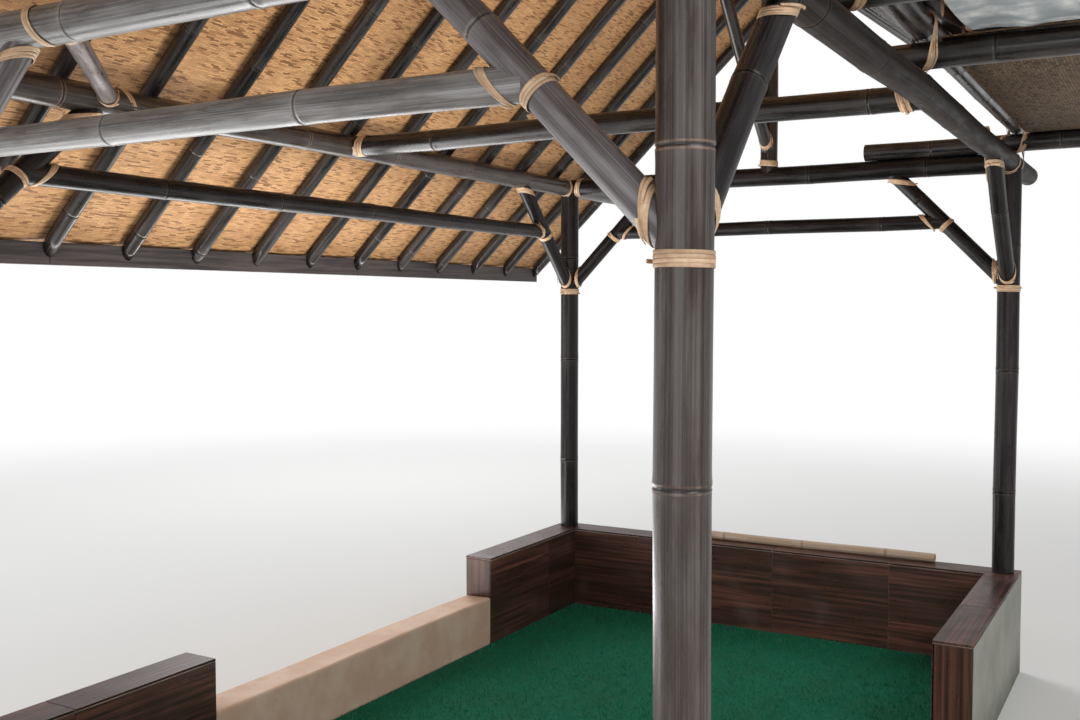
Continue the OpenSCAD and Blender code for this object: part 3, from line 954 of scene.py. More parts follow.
def rattan():
    """Split rattan: pale, with fine fibres along the strip and darker turns."""

    def build(bench):
        l = sizes("lashing")
        along = attribute(bench, "along")
        tone = attribute(bench, "tone")
        place = object_place(bench)
        soft = bench.noise(place, 26.0, 3.0)
        fibre = bench.noise(bench.vector("MULTIPLY", place, (260, 260, 260)), 1.0, 2.0)
        turn = bench.noise(bench.joined(bench.times(along, 9.0), tone, 0.0), 3.0, 3.0)
        body = bench.tint(l.light, l.deep, turn, 0.3, 0.72)
        body = bench.tint(body, (0.62, 0.42, 0.28), soft, 0.42, 0.68, 0.5)
        body = bench.shaded(body, tone, 0.80, 1.12)
        body = bench.tint(body, (0.30, 0.17, 0.09), fibre, 0.55, 0.75, 0.35)
        return {"Base Color": body, "Height": (0.25, 0.0015, fibre)}

    return finish_for("rattan_strip", build, 0.42)


def strip_tree():
    """Sweeps a flat strip along closed loops, its flat side on the pole."""
    inputs = ("Loops", "Geometry"), ("Width", "Float", 0.008), ("Thickness", "Float", 0.0026)
    bench, given, out = geometry_tree("Rattan strips", *inputs)
    curve = bench.add("GeometryNodeMeshToCurve", {0: given["Loops"]})
    outward = bench.named("out", "FLOAT_VECTOR")
    curve = bench.add("GeometryNodeSetCurveNormal", {"Curve": curve, "Normal": outward}, mode="FREE")
    ring = bench.add("GeometryNodeCurvePrimitiveCircle", {"Resolution": 8, "Radius": 1.0})
    x, y, _ = bench.parts(bench.add("GeometryNodeInputPosition").outputs[0])
    # the strip's section: a flat lens, thin along the normal
    thin = bench.times(x, bench.times(given["Thickness"], 0.5))
    wide = bench.times(y, bench.times(given["Width"], 0.5))
    section = bench.add(
        "GeometryNodeSetPosition", {"Geometry": ring, "Position": bench.joined(thin, wide, 0.0)}
    )
    mesh = bench.add(
        "GeometryNodeCurveToMesh", {"Curve": curve, "Profile Curve": section, "Fill Caps": True}
    )
    mesh = bench.dressed(bench.add("GeometryNodeSetShadeSmooth", {"Geometry": mesh}), rattan())
    bench.feed(out.inputs[0], bench.add("GeometryNodeRealizeInstances", {0: mesh}))
    return bench.tree


def wrap(poles, point, normal, lift):
    """Loop that a strip takes round poles in the plane through point: its points and outward ways.

    Each pole is a point, a direction and a radius.
    """
    u, v = side_ways(normal)
    ovals = []
    for base, way, radius in poles:
        base, way = Vector(base), Vector(way).normalized()
        hit = base + way * ((point - base).dot(normal) / way.dot(normal))
        # the pole's section in the plane is an oval: its long way is where the pole leans
        lean = way - normal * way.dot(normal)
        long_way = lean.normalized() if lean.length > 1e-5 else u
        short_way = normal.cross(long_way)
        r = radius + lift
        ovals.append((hit, long_way, short_way, r / max(0.2, abs(way.dot(normal))), r, base, way))
    points, outs = [], []
    count = 36 if len(poles) == 1 else 52
    for i in range(count):
        a = 2 * math.pi * i / count
        n = u * math.cos(a) + v * math.sin(a)
        best = None
        for hit, one, two, long_r, short_r, base, way in ovals:
            p, q = n.dot(one) * long_r, n.dot(two) * short_r
            reach = math.hypot(p, q)
            spot = hit + one * (p * long_r / reach) + two * (q * short_r / reach)
            if best is None or spot.dot(n) > best.dot(n):
                # the strip lies flat: it faces straight away from the pole's centre line
                best, out = spot, spot - base - way * (spot - base).dot(way)
        points.append(best)
        outs.append(out.normalized())
    return points, outs


def strips(poles, point, normal, strands, fan, rng):
    """Loops of one lashing, side by side. With a fan they meet at the point and part across it.

    The fan is the way from the point to the far side of the pole, over their distance.
    """
    l = sizes("lashing")
    normal = Vector(normal).normalized()
    # loops that cut a pole aslant part on its surface, so their planes lie closer together
    slant = min(abs(Vector(way).normalized().dot(normal)) for _, way, _ in poles)
    wide = l.strip * 0.97 * slant**0.7
    close = wide if fan is None else wide * 0.45
    for strand in range(strands):
        share = strand - (strands - 1) / 2
        tilt = Vector([rng.gauss(0, 0.006) for _ in range(3)])
        if fan is not None:
            tilt -= Vector(fan) * (share * (wide - close))
        plane = (normal + tilt).normalized()
        lift = l.thick * 0.5 + abs(rng.gauss(0, 0.0003)) + (0 if fan is None else 0.0004 * strand)
        yield wrap(poles, Vector(point) + normal * (share * close), plane, lift)


def tail(points, outs, start, length, lift):
    """Cut end of a strip: it follows its loop a little further, lying on top, and lifts at its tip."""
    row, ways = [], []
    steps = 6
    for i in range(steps + 1):
        k = (start + i) % len(points)
        row.append(points[k] + outs[k] * (lift * 1.6 + length * 0.30 * (i / steps) ** 3))
        ways.append(outs[k])
    return row, ways


UP = Vector((0, 0, 1))
ALONG_X = Vector((1, 0, 0))
ALONG_Y = Vector((0, 1, 0))
# gaps between the middle of a lashing and the skin of the pole that its own pole meets
FOOT_GAP = 0.011
TOP_GAP = 0.019
PLATE_GAP = 0.022
KING_GAP = 0.020
MID_GAP = 0.024
# distances of lashings from the centre lines that cross their own poles
PLATE_LASH = 0.070
STRUT_LASH = 0.105
BESIDE_STRUT = (0.05, 0.075)


def lashing(poles, point, normal, more=0, fan=None):
    """One lashing: its poles, a point of its middle strand, its plane's normal, strands and fan."""
    return poles, Vector(point), Vector(normal), sizes("lashing").strands + more, fan


def post_lashings(px, py):
    """The band of one post, and the lashings of its braces at their feet, tops and ties."""
    foot_z = LONG_FOOT_Z if px < 0 and py < 0 else BRACE_FOOT_Z
    post = (Vector((px, py, 0)), UP, POST_R)
    yield lashing([post], (px, py, foot_z - BAND_H / 2), (0.02, 0, 1))
    across, along = -1 if px > 0 else 1, 1 if py < 0 else -1
    for sx, sy, tied in ((across, 0, True), (0, along, px < 0)):
        foot, top = brace_ends(px, py, sx, sy)
        way = (top - foot).normalized()
        flat = Vector((sx, sy, 0))
        pole = (foot, way, BRACE_R)
        lean, rise = way.dot(flat), way.z
        # foot: upright loops that meet at the post's band and part over the brace
        base = foot + way * ((POST_R + FOOT_GAP) / lean)
        bottom = base - UP * (BRACE_R / lean)
        yield lashing([pole], bottom, flat + UP * 0.03, fan=UP * (lean / (2 * BRACE_R)))
        # top: level loops close under the plate
        base = foot + way * ((PLATE_Z - foot.z - PLATE_R - TOP_GAP) / rise)
        yield lashing([pole], base, UP - flat * 0.15)
        if not tied:
            continue
        joint = brace_at(px, py, sx, sy, TIE_Z)
        # square round the brace, close under the tie
        drop = BRACE_R * (1 - lean) / rise + 1.5 * sizes("lashing").strip + 0.001
        yield lashing([pole], joint - way * drop, way, -1)
        # round the tie: from the crotch under it, leaning away over its top
        crotch = BRACE_R * (1 + lean) / rise * lean + BRACE_R * rise
        bottom = joint + flat * 0.042 - UP * BRACE_R
        slope = (crotch + 0.012 - 0.038) / (2 * BRACE_R)
        yield lashing([(joint, flat, BRACE_R)], bottom, flat - UP * slope, -1, UP / (2 * BRACE_R))


def gable_lashings(y):
    """Lashings of one gable's plate, king post and ridge brace."""
    inward = 1 if y < 0 else -1
    for side in (-1, 1):
        base = Vector((side * (POST_X - PLATE_R - PLATE_GAP), y, PLATE_Z))
        yield lashing([(base, ALONG_X, PLATE_R)], base, (side, 0, 0.18))
        base = Vector((side * POST_X, y + inward * PLATE_LASH, PLATE_Z))
        yield lashing([(base, ALONG_Y, PLATE_R)], base, (0, 1, 0.10), -1)
    for z, tilt in ((PLATE_Z + PLATE_R + KING_GAP, 0.1), (RIDGE_Z - RIDGE_R - PLATE_GAP, -0.1)):
        base = Vector((0, y, z))
        yield lashing([(base, UP, RIDGE_R)], base, (tilt, 0, 1))
    foot = Vector((0, y, RIDGE_BRACE_FOOT_Z))
    way = Vector((0, inward, RIDGE_Z - foot.z)).normalized()
    brace = (foot, way, RIDGE_BRACE_R)
    yield lashing([brace], foot + way * ((RIDGE_R + KING_GAP) / abs(way.y)), ALONG_Y, -1)
    yield lashing([brace], foot + way * ((RIDGE_Z - foot.z - RIDGE_R - KING_GAP) / way.z), UP, -1)


def strut_lashings():
    """Lashings of the mid tie's ends and of the corner strut, and on the plates beside the strut."""
    for side in (-1, 1):
        base = Vector((side * (POST_X - PLATE_R - MID_GAP), MID_Y, PLATE_Z))
        yield lashing([(base, ALONG_X, MID_R)], base, (side, 0, 0.25), 1)
    way = Vector((1, -1, 0)).normalized()
    one = Vector((-POST_X, NEAR_Y + STRUT_RUN, PLATE_Z))
    two = Vector((-POST_X + STRUT_RUN, NEAR_Y, PLATE_Z))
    for end, out, normal in ((one, 1, (1, -0.25, 0.1)), (two, -1, (0.25, -1, 0.1))):
        base = end + way * (out * STRUT_LASH)
        yield lashing([(base, way, STRUT_R)], base, normal, -1)
    beyond_one, beyond_two = ALONG_Y * BESIDE_STRUT[0], ALONG_X * BESIDE_STRUT[1]
    for base, way in ((one + beyond_one, ALONG_Y), (two - beyond_two, ALONG_X)):
        yield lashing([(base, way, PLATE_R)], base, way + UP * 0.45, -1)


def outrigger_lashings():
    """Lashings where the outriggers cross the side plate and the upper plate."""
    for y in OUT_Y:
        plate = (Vector((POST_X, y, PLATE_Z)), ALONG_Y, PLATE_R)
        out = (Vector((POST_X, y, OUT_Z)), ALONG_X, OUT_R)
        upper = (Vector((UPPER_X, y, UPPER_Z)), ALONG_Y, UPPER_R)
        if y in (NEAR_Y, FAR_Y):
            inward = 1 if y < 0 else -1
            half = (PLATE_Z + OUT_Z) / 2
            middle = Vector((POST_X - 0.1, y, half))
            pair = [(middle - UP * 0.090, ALONG_X, PLATE_R), (middle + UP * 0.090, ALONG_X, OUT_R)]
            yield lashing(pair, middle, (1, 0, 0.12))
            yield lashing([plate, out], (POST_X, y, half), (1, inward, 0), -1)
        middle = Vector((UPPER_X, y, (OUT_Z + UPPER_Z) / 2))
        yield lashing([out, upper], middle, (1, 0.8, 0))


def all_lashings():
    """Every lashing of the frame, in the order in which the strips take their chances."""
    for px in (-POST_X, POST_X):
        for py in (NEAR_Y, FAR_Y):
            yield from post_lashings(px, py)
    for y in (NEAR_Y, FAR_Y):
        yield from gable_lashings(y)
    yield from strut_lashings()
    yield from outrigger_lashings()


class PAVILION_OT_lashings(bpy.types.Operator):
    """Rattan strips round every joint of the frame"""

    bl_idname = "pavilion.lashings"
    bl_label = "Lashings"

    def execute(self, context):
        l = sizes("lashing")
        rng = random.Random(11)
        rows, values = [], {"out": [], "along": [], "tone": []}
        for number, place in enumerate(all_lashings()):
            loops = list(strips(*place, rng))
            rows_here = [(*loop, True) for loop in loops]
            for _ in range(2):
                pick, start, length = rng.choice(loops), rng.randrange(36), rng.uniform(0.012, 0.03)
                rows_here.append((*tail(*pick, start, length, l.thick), False))
            for points, outs, closed in rows_here:
                rows.append((points, closed))
                tone, run = rng.random(), 0.0
                for i, (p, out) in enumerate(zip(points, outs)):
                    values["out"].append(tuple(out))
                    values["along"].append(run + number)
                    values["tone"].append(tone)
                    run += (points[(i + 1) % len(points)] - p).length
        piece = grow(
            "rattan_lashings",
            edge_mesh("rattan_lashings", rows, values),
            strip_tree(),
            {"Width": l.strip, "Thickness": l.thick},
        )
        keep(piece, "rattan", "post_bands")
        return {"FINISHED"}


# mats, board and loose sheet


def plait(bench, given):
    """Plaited strips: rows of short lengths, each its own shade, over and under."""
    warp = bench.noise(given["Vector"], 19.0, 2.0)
    shift = bench.scaled(bench.joined(warp, warp, 0.0), 0.012)
    vector = bench.vector("ADD", given["Vector"], shift)
    brick = bench.add(
        "ShaderNodeTexBrick",
        {
            "Vector": vector,
            "Color1": (0.15, 0.15, 0.15),
            "Color2": (0.9, 0.9, 0.9),
            "Mortar": (0.0, 0.0, 0.0),
            "Scale": 1.0,
            "Mortar Size": bench.times(given["Height"], 0.10),
            "Mortar Smooth": 0.6,
            "Brick Width": given["Length"],
            "Row Height": given["Height"],
        },
        offset=0.36,
        offset_frequency=2,
        squash=1.0,
    )
    fibre = bench.noise(bench.vector("MULTIPLY", vector, (30.0, 500.0, 1.0)), 1.0, 3.0)
    return {"Shade": brick.outputs["Color"], "Gap": brick.outputs["Fac"], "Fibre": fibre}


def mat_finish(name, light, dark, flow, strip=(0.036, 0.0062), gloss=0.5):
    """Plaited bamboo mat. flow turns the object's place so that X runs along the strips."""

    def build(bench):
        group = shader_group(
            "Plait",
            [("Vector", "Vector"), ("Length", "Float", 0.042), ("Height", "Float", 0.0075)],
            [("Shade", "Color"), ("Gap", "Float"), ("Fibre", "Float")],
            plait,
        )
        place = flow(bench, object_place(bench))
        p = placed(bench, group, Vector=place, Length=strip[0], Height=strip[1])
        large = bench.noise(place, 2.2, 3.0)
        small = bench.noise(bench.vector("MULTIPLY", place, (9.0, 40.0, 1.0)), 1.0, 4.0)
        shade = bench.math("MULTIPLY_ADD", p["Shade"], 0.80, bench.times(small, 0.20))
        body = bench.tint(bench.blend(0.5, dark, light), light, shade, 0.45, 0.80)
        body = bench.blend(bench.ramp(shade, 0.26, 0.37, 0.85, 0.0), body, [c * 0.48 for c in dark])
        body = bench.tint(body, dark, large, 0.45, 0.72, 0.30)
        body = bench.tint(body, dark, p["Fibre"], 0.56, 0.74, 0.25)
        body = bench.blend(bench.times(p["Gap"], 0.55), body, [c * 0.35 for c in dark])
        height = bench.math("SUBTRACT", bench.times(shade, 0.6), p["Gap"])
        return {"Base Color": body, "Height": (0.6, 0.0025, height)}

    return finish_for(name, build, 0.62, gloss)


def down_slope(side, pitch):
    """Turns a place on a slope so that X runs level along the ridge and Y down the slope."""

    def flow(bench, place):
        x, y, z = bench.parts(place)
        down = bench.math(
            "SUBTRACT",
            bench.times(x, side * math.cos(pitch)),
            bench.times(z, math.sin(pitch)),
        )
        return bench.joined(y, down, 0.0)

    return flow


def level(bench, place):
    x, y, _ = bench.parts(place)
    return bench.joined(y, x, 0.0)


# thickness of the mats, gap between a slope's mat and its rafters, and margin at its edges
MAT_T = 0.004
MAT_GAP = 0.003
MAT_EDGE = 0.004


def grid_mesh(name, rows, columns, place, thickness):
    """Sheet of rows by columns faces; place gives each corner from two shares of one."""
    bm = bmesh.new()
    grid = [
        [bm.verts.new(place(i / rows, j / columns)) for j in range(columns + 1)] for i in range(rows + 1)
    ]
    for i in range(rows):
        for j in range(columns):
            bm.faces.new((grid[i][j], grid[i][j + 1], grid[i + 1][j + 1], grid[i + 1][j]))
    bm.normal_update()
    for face in bm.faces:
        face.smooth = True
    piece = link(name, plain_mesh(name, bm))
    solid = piece.modifiers.new("thickness", "SOLIDIFY")
    solid.thickness = thickness
    solid.offset = 0.0
    solid.use_even_offset = False
    return piece


def ripples(seed, *scales):
    """Smooth wavy function of two numbers, from a few turned waves."""
    rng = random.Random(seed)
    waves = []
    for size, height in scales:
        for _ in range(4):
            a = rng.uniform(0, 2 * math.pi)
            waves.append((math.cos(a) / size, math.sin(a) / size, rng.uniform(0, 6.3), height / 2))
    return lambda u, v: sum(h * math.sin(p * u + q * v + r) for p, q, r, h in waves)


def slope_mat(slope):
    """Mat on the rafters of one slope; it sags a little between them."""
    r = sizes("roof")
    side, pitch, top = SLOPES[slope]
    node = slope + "_mat"
    name = node + "_plaited"
    one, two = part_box(node)
    reach = max(abs(one.x), abs(two.x)) - MAT_EDGE
    wave = ripples(len(name), (0.5, 0.0012), (0.12, 0.0009))

    def place(s, t):
        x = MAT_EDGE + (reach - MAT_EDGE) * t
        y = one.y + (two.y - one.y) * s
        bay = (y + ROOF_HALF) / RAFTER_GAP
        sag = r.sag * math.sin(math.pi * bay) ** 2 if 0 < bay < RAFTERS - 1 else 0
        lift = 2 * RAFTER_R + MAT_GAP - sag + wave(x, y)
        return side * (x + lift * math.sin(pitch)), y, top - x * math.tan(pitch) + lift * math.cos(pitch)

    piece = grid_mesh(name, 200, 36, place, MAT_T)
    finish = mat_finish("plaited_mat_" + node, r.mat_light, r.mat_dark, down_slope(side, pitch))
    piece.data.materials.append(finish)
    keep(piece, "woven_mat", node)


def eave_mat():
    """Mat over the outriggers, darkened with painted shade, frayed at its free edge; it hangs where none
    carries it.
    """
    one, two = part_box("side_eave_mat")
    wave = ripples(5, (0.4, 0.004), (0.09, 0.0015))
    rng = random.Random(3)
    frayed = [rng.uniform(0, 0.012) for _ in range(100)]

    def place(s, t):
        x = one.x + 0.006 + (two.x - one.x - 0.012 - (frayed[int(s * 99)] if t > 0.99 else 0)) * t
        y = one.y + (two.y - one.y) * s
        carried = max(math.exp(-(((y - spot) / 0.10) ** 2)) for spot in OUT_Y[2:])
        return x, y, (one.z + two.z) / 2 - 0.018 * (1 - carried) + wave(x, y)

    piece = grid_mesh("side_eave_mat_plaited", 120, 30, place, MAT_T)
    # a darker, dull copy of the plaited mat's colours: painted shade
    light, dark = (0.14, 0.088, 0.048), (0.054, 0.033, 0.019)
    piece.data.materials.append(mat_finish("plaited_mat_eave", light, dark, level, (0.030, 0.011), 0.1))
    keep(piece, "woven_mat", "side_eave_mat")


class PAVILION_OT_mats(bpy.types.Operator):
    """Plaited mats under the thatch and over the entrance side outriggers"""

    bl_idname = "pavilion.mats"
    bl_label = "Plaited mats"

    def execute(self, context):
        for slope in SLOPES:
            slope_mat(slope)
        eave_mat()
        return {"FINISHED"}


def board_wood():
    """Dark stained wood with its grain along the board."""

    def build(bench):
        place = object_place(bench)
        grain = bench.noise(bench.vector("MULTIPLY", place, (60.0, 2.2, 60.0)), 1.0, 5.0, 0.6, 0.4)
        stain = bench.noise(place, 3.0, 4.0)
        body = bench.tint((0.045, 0.038, 0.040), (0.125, 0.105, 0.100), grain, 0.35, 0.68)
        body = bench.tint(body, (0.13, 0.11, 0.10), stain, 0.5, 0.75, 0.4)
        rough = bench.ramp(grain, 0.3, 0.7, 0.38, 0.62)
        return {"Base Color": body, "Roughness": rough, "Height": (0.35, 0.003, grain)}

    return finish_for("eave_board_wood", build)


class PAVILION_OT_board(bpy.types.Operator):
    """Dark eave board on the rafters' tails"""

    bl_idname = "pavilion.board"
    bl_label = "Eave board"

    def execute(self, context):
        one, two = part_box("eave_board")
        wave = ripples(9, (0.9, 0.0016))
        bm = bmesh.new()
        # the plank is jointed twice along its length, each time over a rafter
        joint = 0.0015
        rafters = [one.y + RAFTER_R + RAFTER_GAP * i for i in (5, 10)]
        for start, end in zip([one.y, *rafters], [*rafters, two.y]):
            add_box(bm, (one.x, start + joint / 2, one.z), (two.x, end - joint / 2, two.z))
        long_edges = [e for e in bm.edges if abs(e.verts[0].co.y - e.verts[1].co.y) > 0.5]
        bmesh.ops.subdivide_edges(bm, edges=long_edges, cuts=18, use_grid_fill=True)
        for v in bm.verts:
            v.co.z += wave(v.co.y, 0.0) - 0.0008
        piece = link("eave_board_plank", plain_mesh("eave_board_plank", bm))
        soften(piece, 0.0025, 2, 0.6)
        piece.data.materials.append(board_wood())
        keep(piece, "eave_wood", "eave_board")
        return {"FINISHED"}


def film():
    """Thin film, greyer and paler where dust lies on it."""

    def build(bench):
        place = object_place(bench)
        dust = bench.noise(place, 9.0, 5.0)
        fine = bench.noise(place, 70.0, 3.0)
        body = bench.tint(sizes("sheet").film, (0.58, 0.585, 0.56), dust, 0.40, 0.66)
        body = bench.tint(body, (0.74, 0.72, 0.65), dust, 0.56, 0.74, 0.7)
        return {"Base Color": body, "Height": (0.3, 0.002, fine)}

    return finish_for("loose_film", build, 0.38)


class PAVILION_OT_sheet(bpy.types.Operator):
    """Loose crumpled sheet over the middle outriggers, lapping over the entrance side mat"""

    bl_idname = "pavilion.sheet"
    bl_label = "Loose sheet"

    def execute(self, context):
        s = sizes("sheet")
        one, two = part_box("side_eave_sheet")
        wave = ripples(21, (0.10, 0.35), (0.045, 0.32), (0.022, 0.20))
        wide, long = two.x - one.x, two.y - one.y
        skew = ripples(4, (0.35, 0.02))
        hem = 0.012

        def place(a, b):
            x = one.x + hem + (wide - 2 * hem) * b + skew(a * long, 0.0) * (0.3 + b) * 0.5
            y = one.y + hem + (long - 2 * hem) * a + skew(0.0, b * wide * 2) * 0.5
            # it rests on the outriggers and the mat, and sags between them
            span = min(1.0, max(0.0, (y - OUT_Y[1]) / (OUT_Y[2] - OUT_Y[1])))
            z = one.z + 0.003 - s.sag * math.sin(math.pi * span) + (0.006 if y > OUT_Y[2] - 0.06 else 0)
            fold = wave(x, y)
            z += s.crease * (0.5 + fold * abs(fold) * 1.3)
            return min(max(x, one.x), two.x), min(max(y, one.y), two.y), z

        piece = grid_mesh("loose_sheet", 150, 70, place, 0.0012)
        for face in piece.data.polygons:
            face.use_smooth = False
        piece.data.materials.append(film())
        keep(piece, "sheet", "side_eave_sheet")
        return {"FINISHED"}


# thatch


def straw_finish(name, flow):
    """Dry straw: streaks down the slope, each straw its own shade, greyer where it has aged."""

    def build(bench):
        r = sizes("roof")
        place = flow(bench, object_place(bench))
        streak = bench.noise(bench.vector("MULTIPLY", place, (260.0, 9.0, 260.0)), 1.0, 3.0)
        large = bench.noise(place, 1.7, 4.0)
        tone = attribute(bench, "tone")
        mixed = bench.math("ADD", bench.times(streak, 0.6), bench.times(tone, 0.55))
        body = bench.tint(r.straw_dark, r.straw_light, mixed, 0.28, 0.88)
        body = bench.tint(body, (0.33, 0.295, 0.255), large, 0.40, 0.66, 0.55)
        return {"Base Color": body, "Height": (0.5, 0.004, streak)}

    return finish_for(name, build, 0.78)


def straw_mesh(name, points, faces, tones):
    """Bundle of flat straws, each with a shade of its own."""
    mesh = bpy.data.meshes.new(name)
    mesh.from_pydata(points, [], faces)
    store(mesh, "shade", tones)
    return mesh


def clump_mesh(seed):
    """Bundle of flat straws along -X from their butts at the origin, one unit long."""
    rng = random.Random(seed)
    half_width, depth = 0.085, 0.035
    points, faces, tones = [], [], []
    for _ in range(8):
        y0, y1 = rng.uniform(-half_width, half_width), rng.uniform(-half_width, half_width)
        z0 = rng.uniform(0.0, depth)
        w = rng.uniform(0.010, 0.019)
        butt = rng.uniform(-0.08, 0.05)
        bow = rng.uniform(0.0, 0.02)
        roll = rng.uniform(-0.5, 0.5)
        start = len(points)
        for t, thick in ((0.0, 0.75), (0.35, 1.0), (1.0, 0.5)):
            x = butt - t
            y = y0 + (y1 - y0) * t
            z = z0 * (1 - t) + bow * math.sin(math.pi * t)
            half = w * thick
            points.append((x, y - half, z - half * roll))
            points.append((x, y + half, z + half * roll))
        for i in (start, start + 2):
            faces.append((i, i + 1, i + 3, i + 2))
        tones += [rng.random()] * 6
    return straw_mesh("straw_clump", points, faces, tones)


def thatch_tree(name, material):
    """Sets straw clumps along lines, each pointing the way its line says."""
    bench, given, out = geometry_tree(
        name,
        ("Lines", "Geometry"),
        ("Spacing", "Float", 0.02),
        ("Straw", "Float", 0.4),
        ("Ragged", "Float", 0.02),
        ("Loose", "Float", 1.0),
        ("Seed", "Int", 1),
        ("Clump A", "Object"),
        ("Clump B", "Object"),
        ("Clump C", "Object"),
    )

    def chance(low_value, high_value, salt, loose=True):
        node = bench.add("FunctionNodeRandomValue", data_type="FLOAT")
        node.inputs[2].default_value = low_value
        node.inputs[3].default_value = high_value
        bench.feed(node.inputs["Seed"], bench.math("ADD", given["Seed"], float(salt)))
        return bench.times(node.outputs[1], given["Loose"]) if loose else node.outputs[1]

    curve = bench.add("GeometryNodeMeshToCurve", {0: given["Lines"]})
    points = bench.add(
        "GeometryNodeResampleCurve", {"Curve": curve, "Length": given["Spacing"]}, mode="LENGTH"
    )
    down, face = (bench.named(key, "FLOAT_VECTOR") for key in ("down", "face"))
    slide = bench.scaled(down, bench.times(chance(-1.0, 1.0, 1, False), given["Ragged"]))
    raised = bench.scaled(face, chance(-0.006, 0.004, 2, False))
    points = bench.add(
        "GeometryNodeSetPosition", {"Geometry": points, "Offset": bench.vector("ADD", slide, raised)}
    )
    turn = bench.add("FunctionNodeAlignRotationToVector", {"Vector": down}, axis="X")
    turn = bench.add(
        "FunctionNodeAlignRotationToVector", {"Rotation": turn, "Vector": face}, axis="Z", pivot_axis="X"
    )
    own = bench.add(
        "FunctionNodeEulerToRotation",
        {0: bench.joined(chance(-0.25, 0.25, 3), chance(-0.025, 0.03, 4), chance(-0.13, 0.13, 5))},
    )
    turn = bench.add("FunctionNodeRotateRotation", {0: turn, 1: own}, rotation_space="LOCAL")
    kinds = [bench.shape(given["Clump " + letter]) for letter in "CBA"]
    bundle = bench.gathered("GeometryNodeGeometryToInstance", *kinds)
    pick = bench.add("FunctionNodeRandomValue", data_type="INT")
    pick.inputs[4].default_value, pick.inputs[5].default_value = 0, 2
    size = bench.times(given["Straw"], bench.math("ADD", chance(-0.14, 0.14, 6), 1.0))
    size = bench.times(size, bench.named("size"))
    clumps = bench.add(
        "GeometryNodeInstanceOnPoints",
        {
            "Points": points,
            "Instance": bundle,
            "Pick Instance": True,
            "Instance Index": pick.outputs[2],
            "Rotation": turn,
            "Scale": size,
        },
    )
    clumps = bench.stored(clumps, "patch", chance(0.0, 1.0, 8, False), domain="INSTANCE")
    solid = bench.add("GeometryNodeRealizeInstances", {0: clumps})
    patch = bench.times(bench.named("patch"), 0.4)
    tone = bench.math("ADD", patch, bench.times(bench.named("shade"), 0.6))
    bench.feed(out.inputs[0], bench.dressed(bench.stored(solid, "tone", tone), material))
    return bench.tree


def lay_straw(name, lines, material, spacing, straw, ragged, seed, clumps, loose=1.0):
    """Straw along lines: two ends, the ways its straws point and face, and their share of length."""
    rows, values = [], {"down": [], "face": [], "size": []}
    for a, b, down, face, size in lines:
        rows.append(([a, b], False))
        values["down"] += [tuple(down)] * 2
        values["face"] += [tuple(face)] * 2
        values["size"] += [size] * 2
    piece = grow(
        name,
        edge_mesh(name, rows, values),
        thatch_tree("Straw " + name, material),
        {
            "Spacing": spacing,
            "Straw": straw,
            "Ragged": ragged,
            "Loose": loose,
            "Seed": seed,
            **{f"Clump {letter}": clump for letter, clump in zip("ABC", clumps)},
        },
    )
    return keep(piece, "thatch")


def swept_body(name, node, outline, y0, y1, wave, material, tone):
    """Solid along the ridge whose section is the outline, with a slightly wavy surface."""
    bm = bmesh.new()
    across = 100
    places = [y0 + (y1 - y0) * k / across for k in range(across + 1)]
    loops = [[bm.verts.new((x, y, z + wave(x * 2, y))) for x, z in outline] for y in places]
    n = len(outline)
    for a, b in zip(loops, loops[1:]):
        for i in range(n):
            bm.faces.new((a[i], a[(i + 1) % n], b[(i + 1) % n], b[i]))
    bm.faces.new(loops[0])
    bm.faces.new(loops[-1])
    bmesh.ops.recalc_face_normals(bm, faces=bm.faces)
    mesh = plain_mesh(name, bm)
    mesh.materials.append(material)
    store(mesh, "tone", [tone] * len(mesh.vertices))
    return keep(link(name, mesh), "thatch", node)


def bent_clump(seed, outline):
    """Bundle of flat straws bent over the ridge along an outline of (x, z) points."""
    rng = random.Random(seed)
    points, faces, tones = [], [], []
    lengths = [0.0]
    for a, b in zip(outline, outline[1:]):
        lengths.append(lengths[-1] + math.dist(a, b))
    count = 12
    for _ in range(7):
        y, drift = rng.uniform(-0.02, 0.02), rng.uniform(-0.02, 0.02)
        depth, w = rng.uniform(0.0, 0.009), rng.uniform(0.0022, 0.0042)
        lo, hi = rng.uniform(0, 0.03), lengths[-1] - rng.uniform(0, 0.03)
        start = len(points)
        for i in range(count + 1):
            t = lo + (hi - lo) * i / count
            x, z = (np.interp(t, lengths, [p[k] for p in outline]) for k in (0, 1))
            middle = y + drift * (i / count - 0.5) * 2
            for side in (-w, w):
                points.append((x * (1 - depth), middle + side, z - depth + w * 0.4))
        for k in range(start, start + 2 * count, 2):
            faces.append((k, k + 2, k + 3, k + 1))
        tones += [rng.random()] * (2 * count + 2)
    return straw_mesh("ridge_clump", points, faces, tones)


# margin between the lines of straw and the verges, and gap between the rafters and the thatch
VERGE = 0.030
THATCH_GAP = 0.006


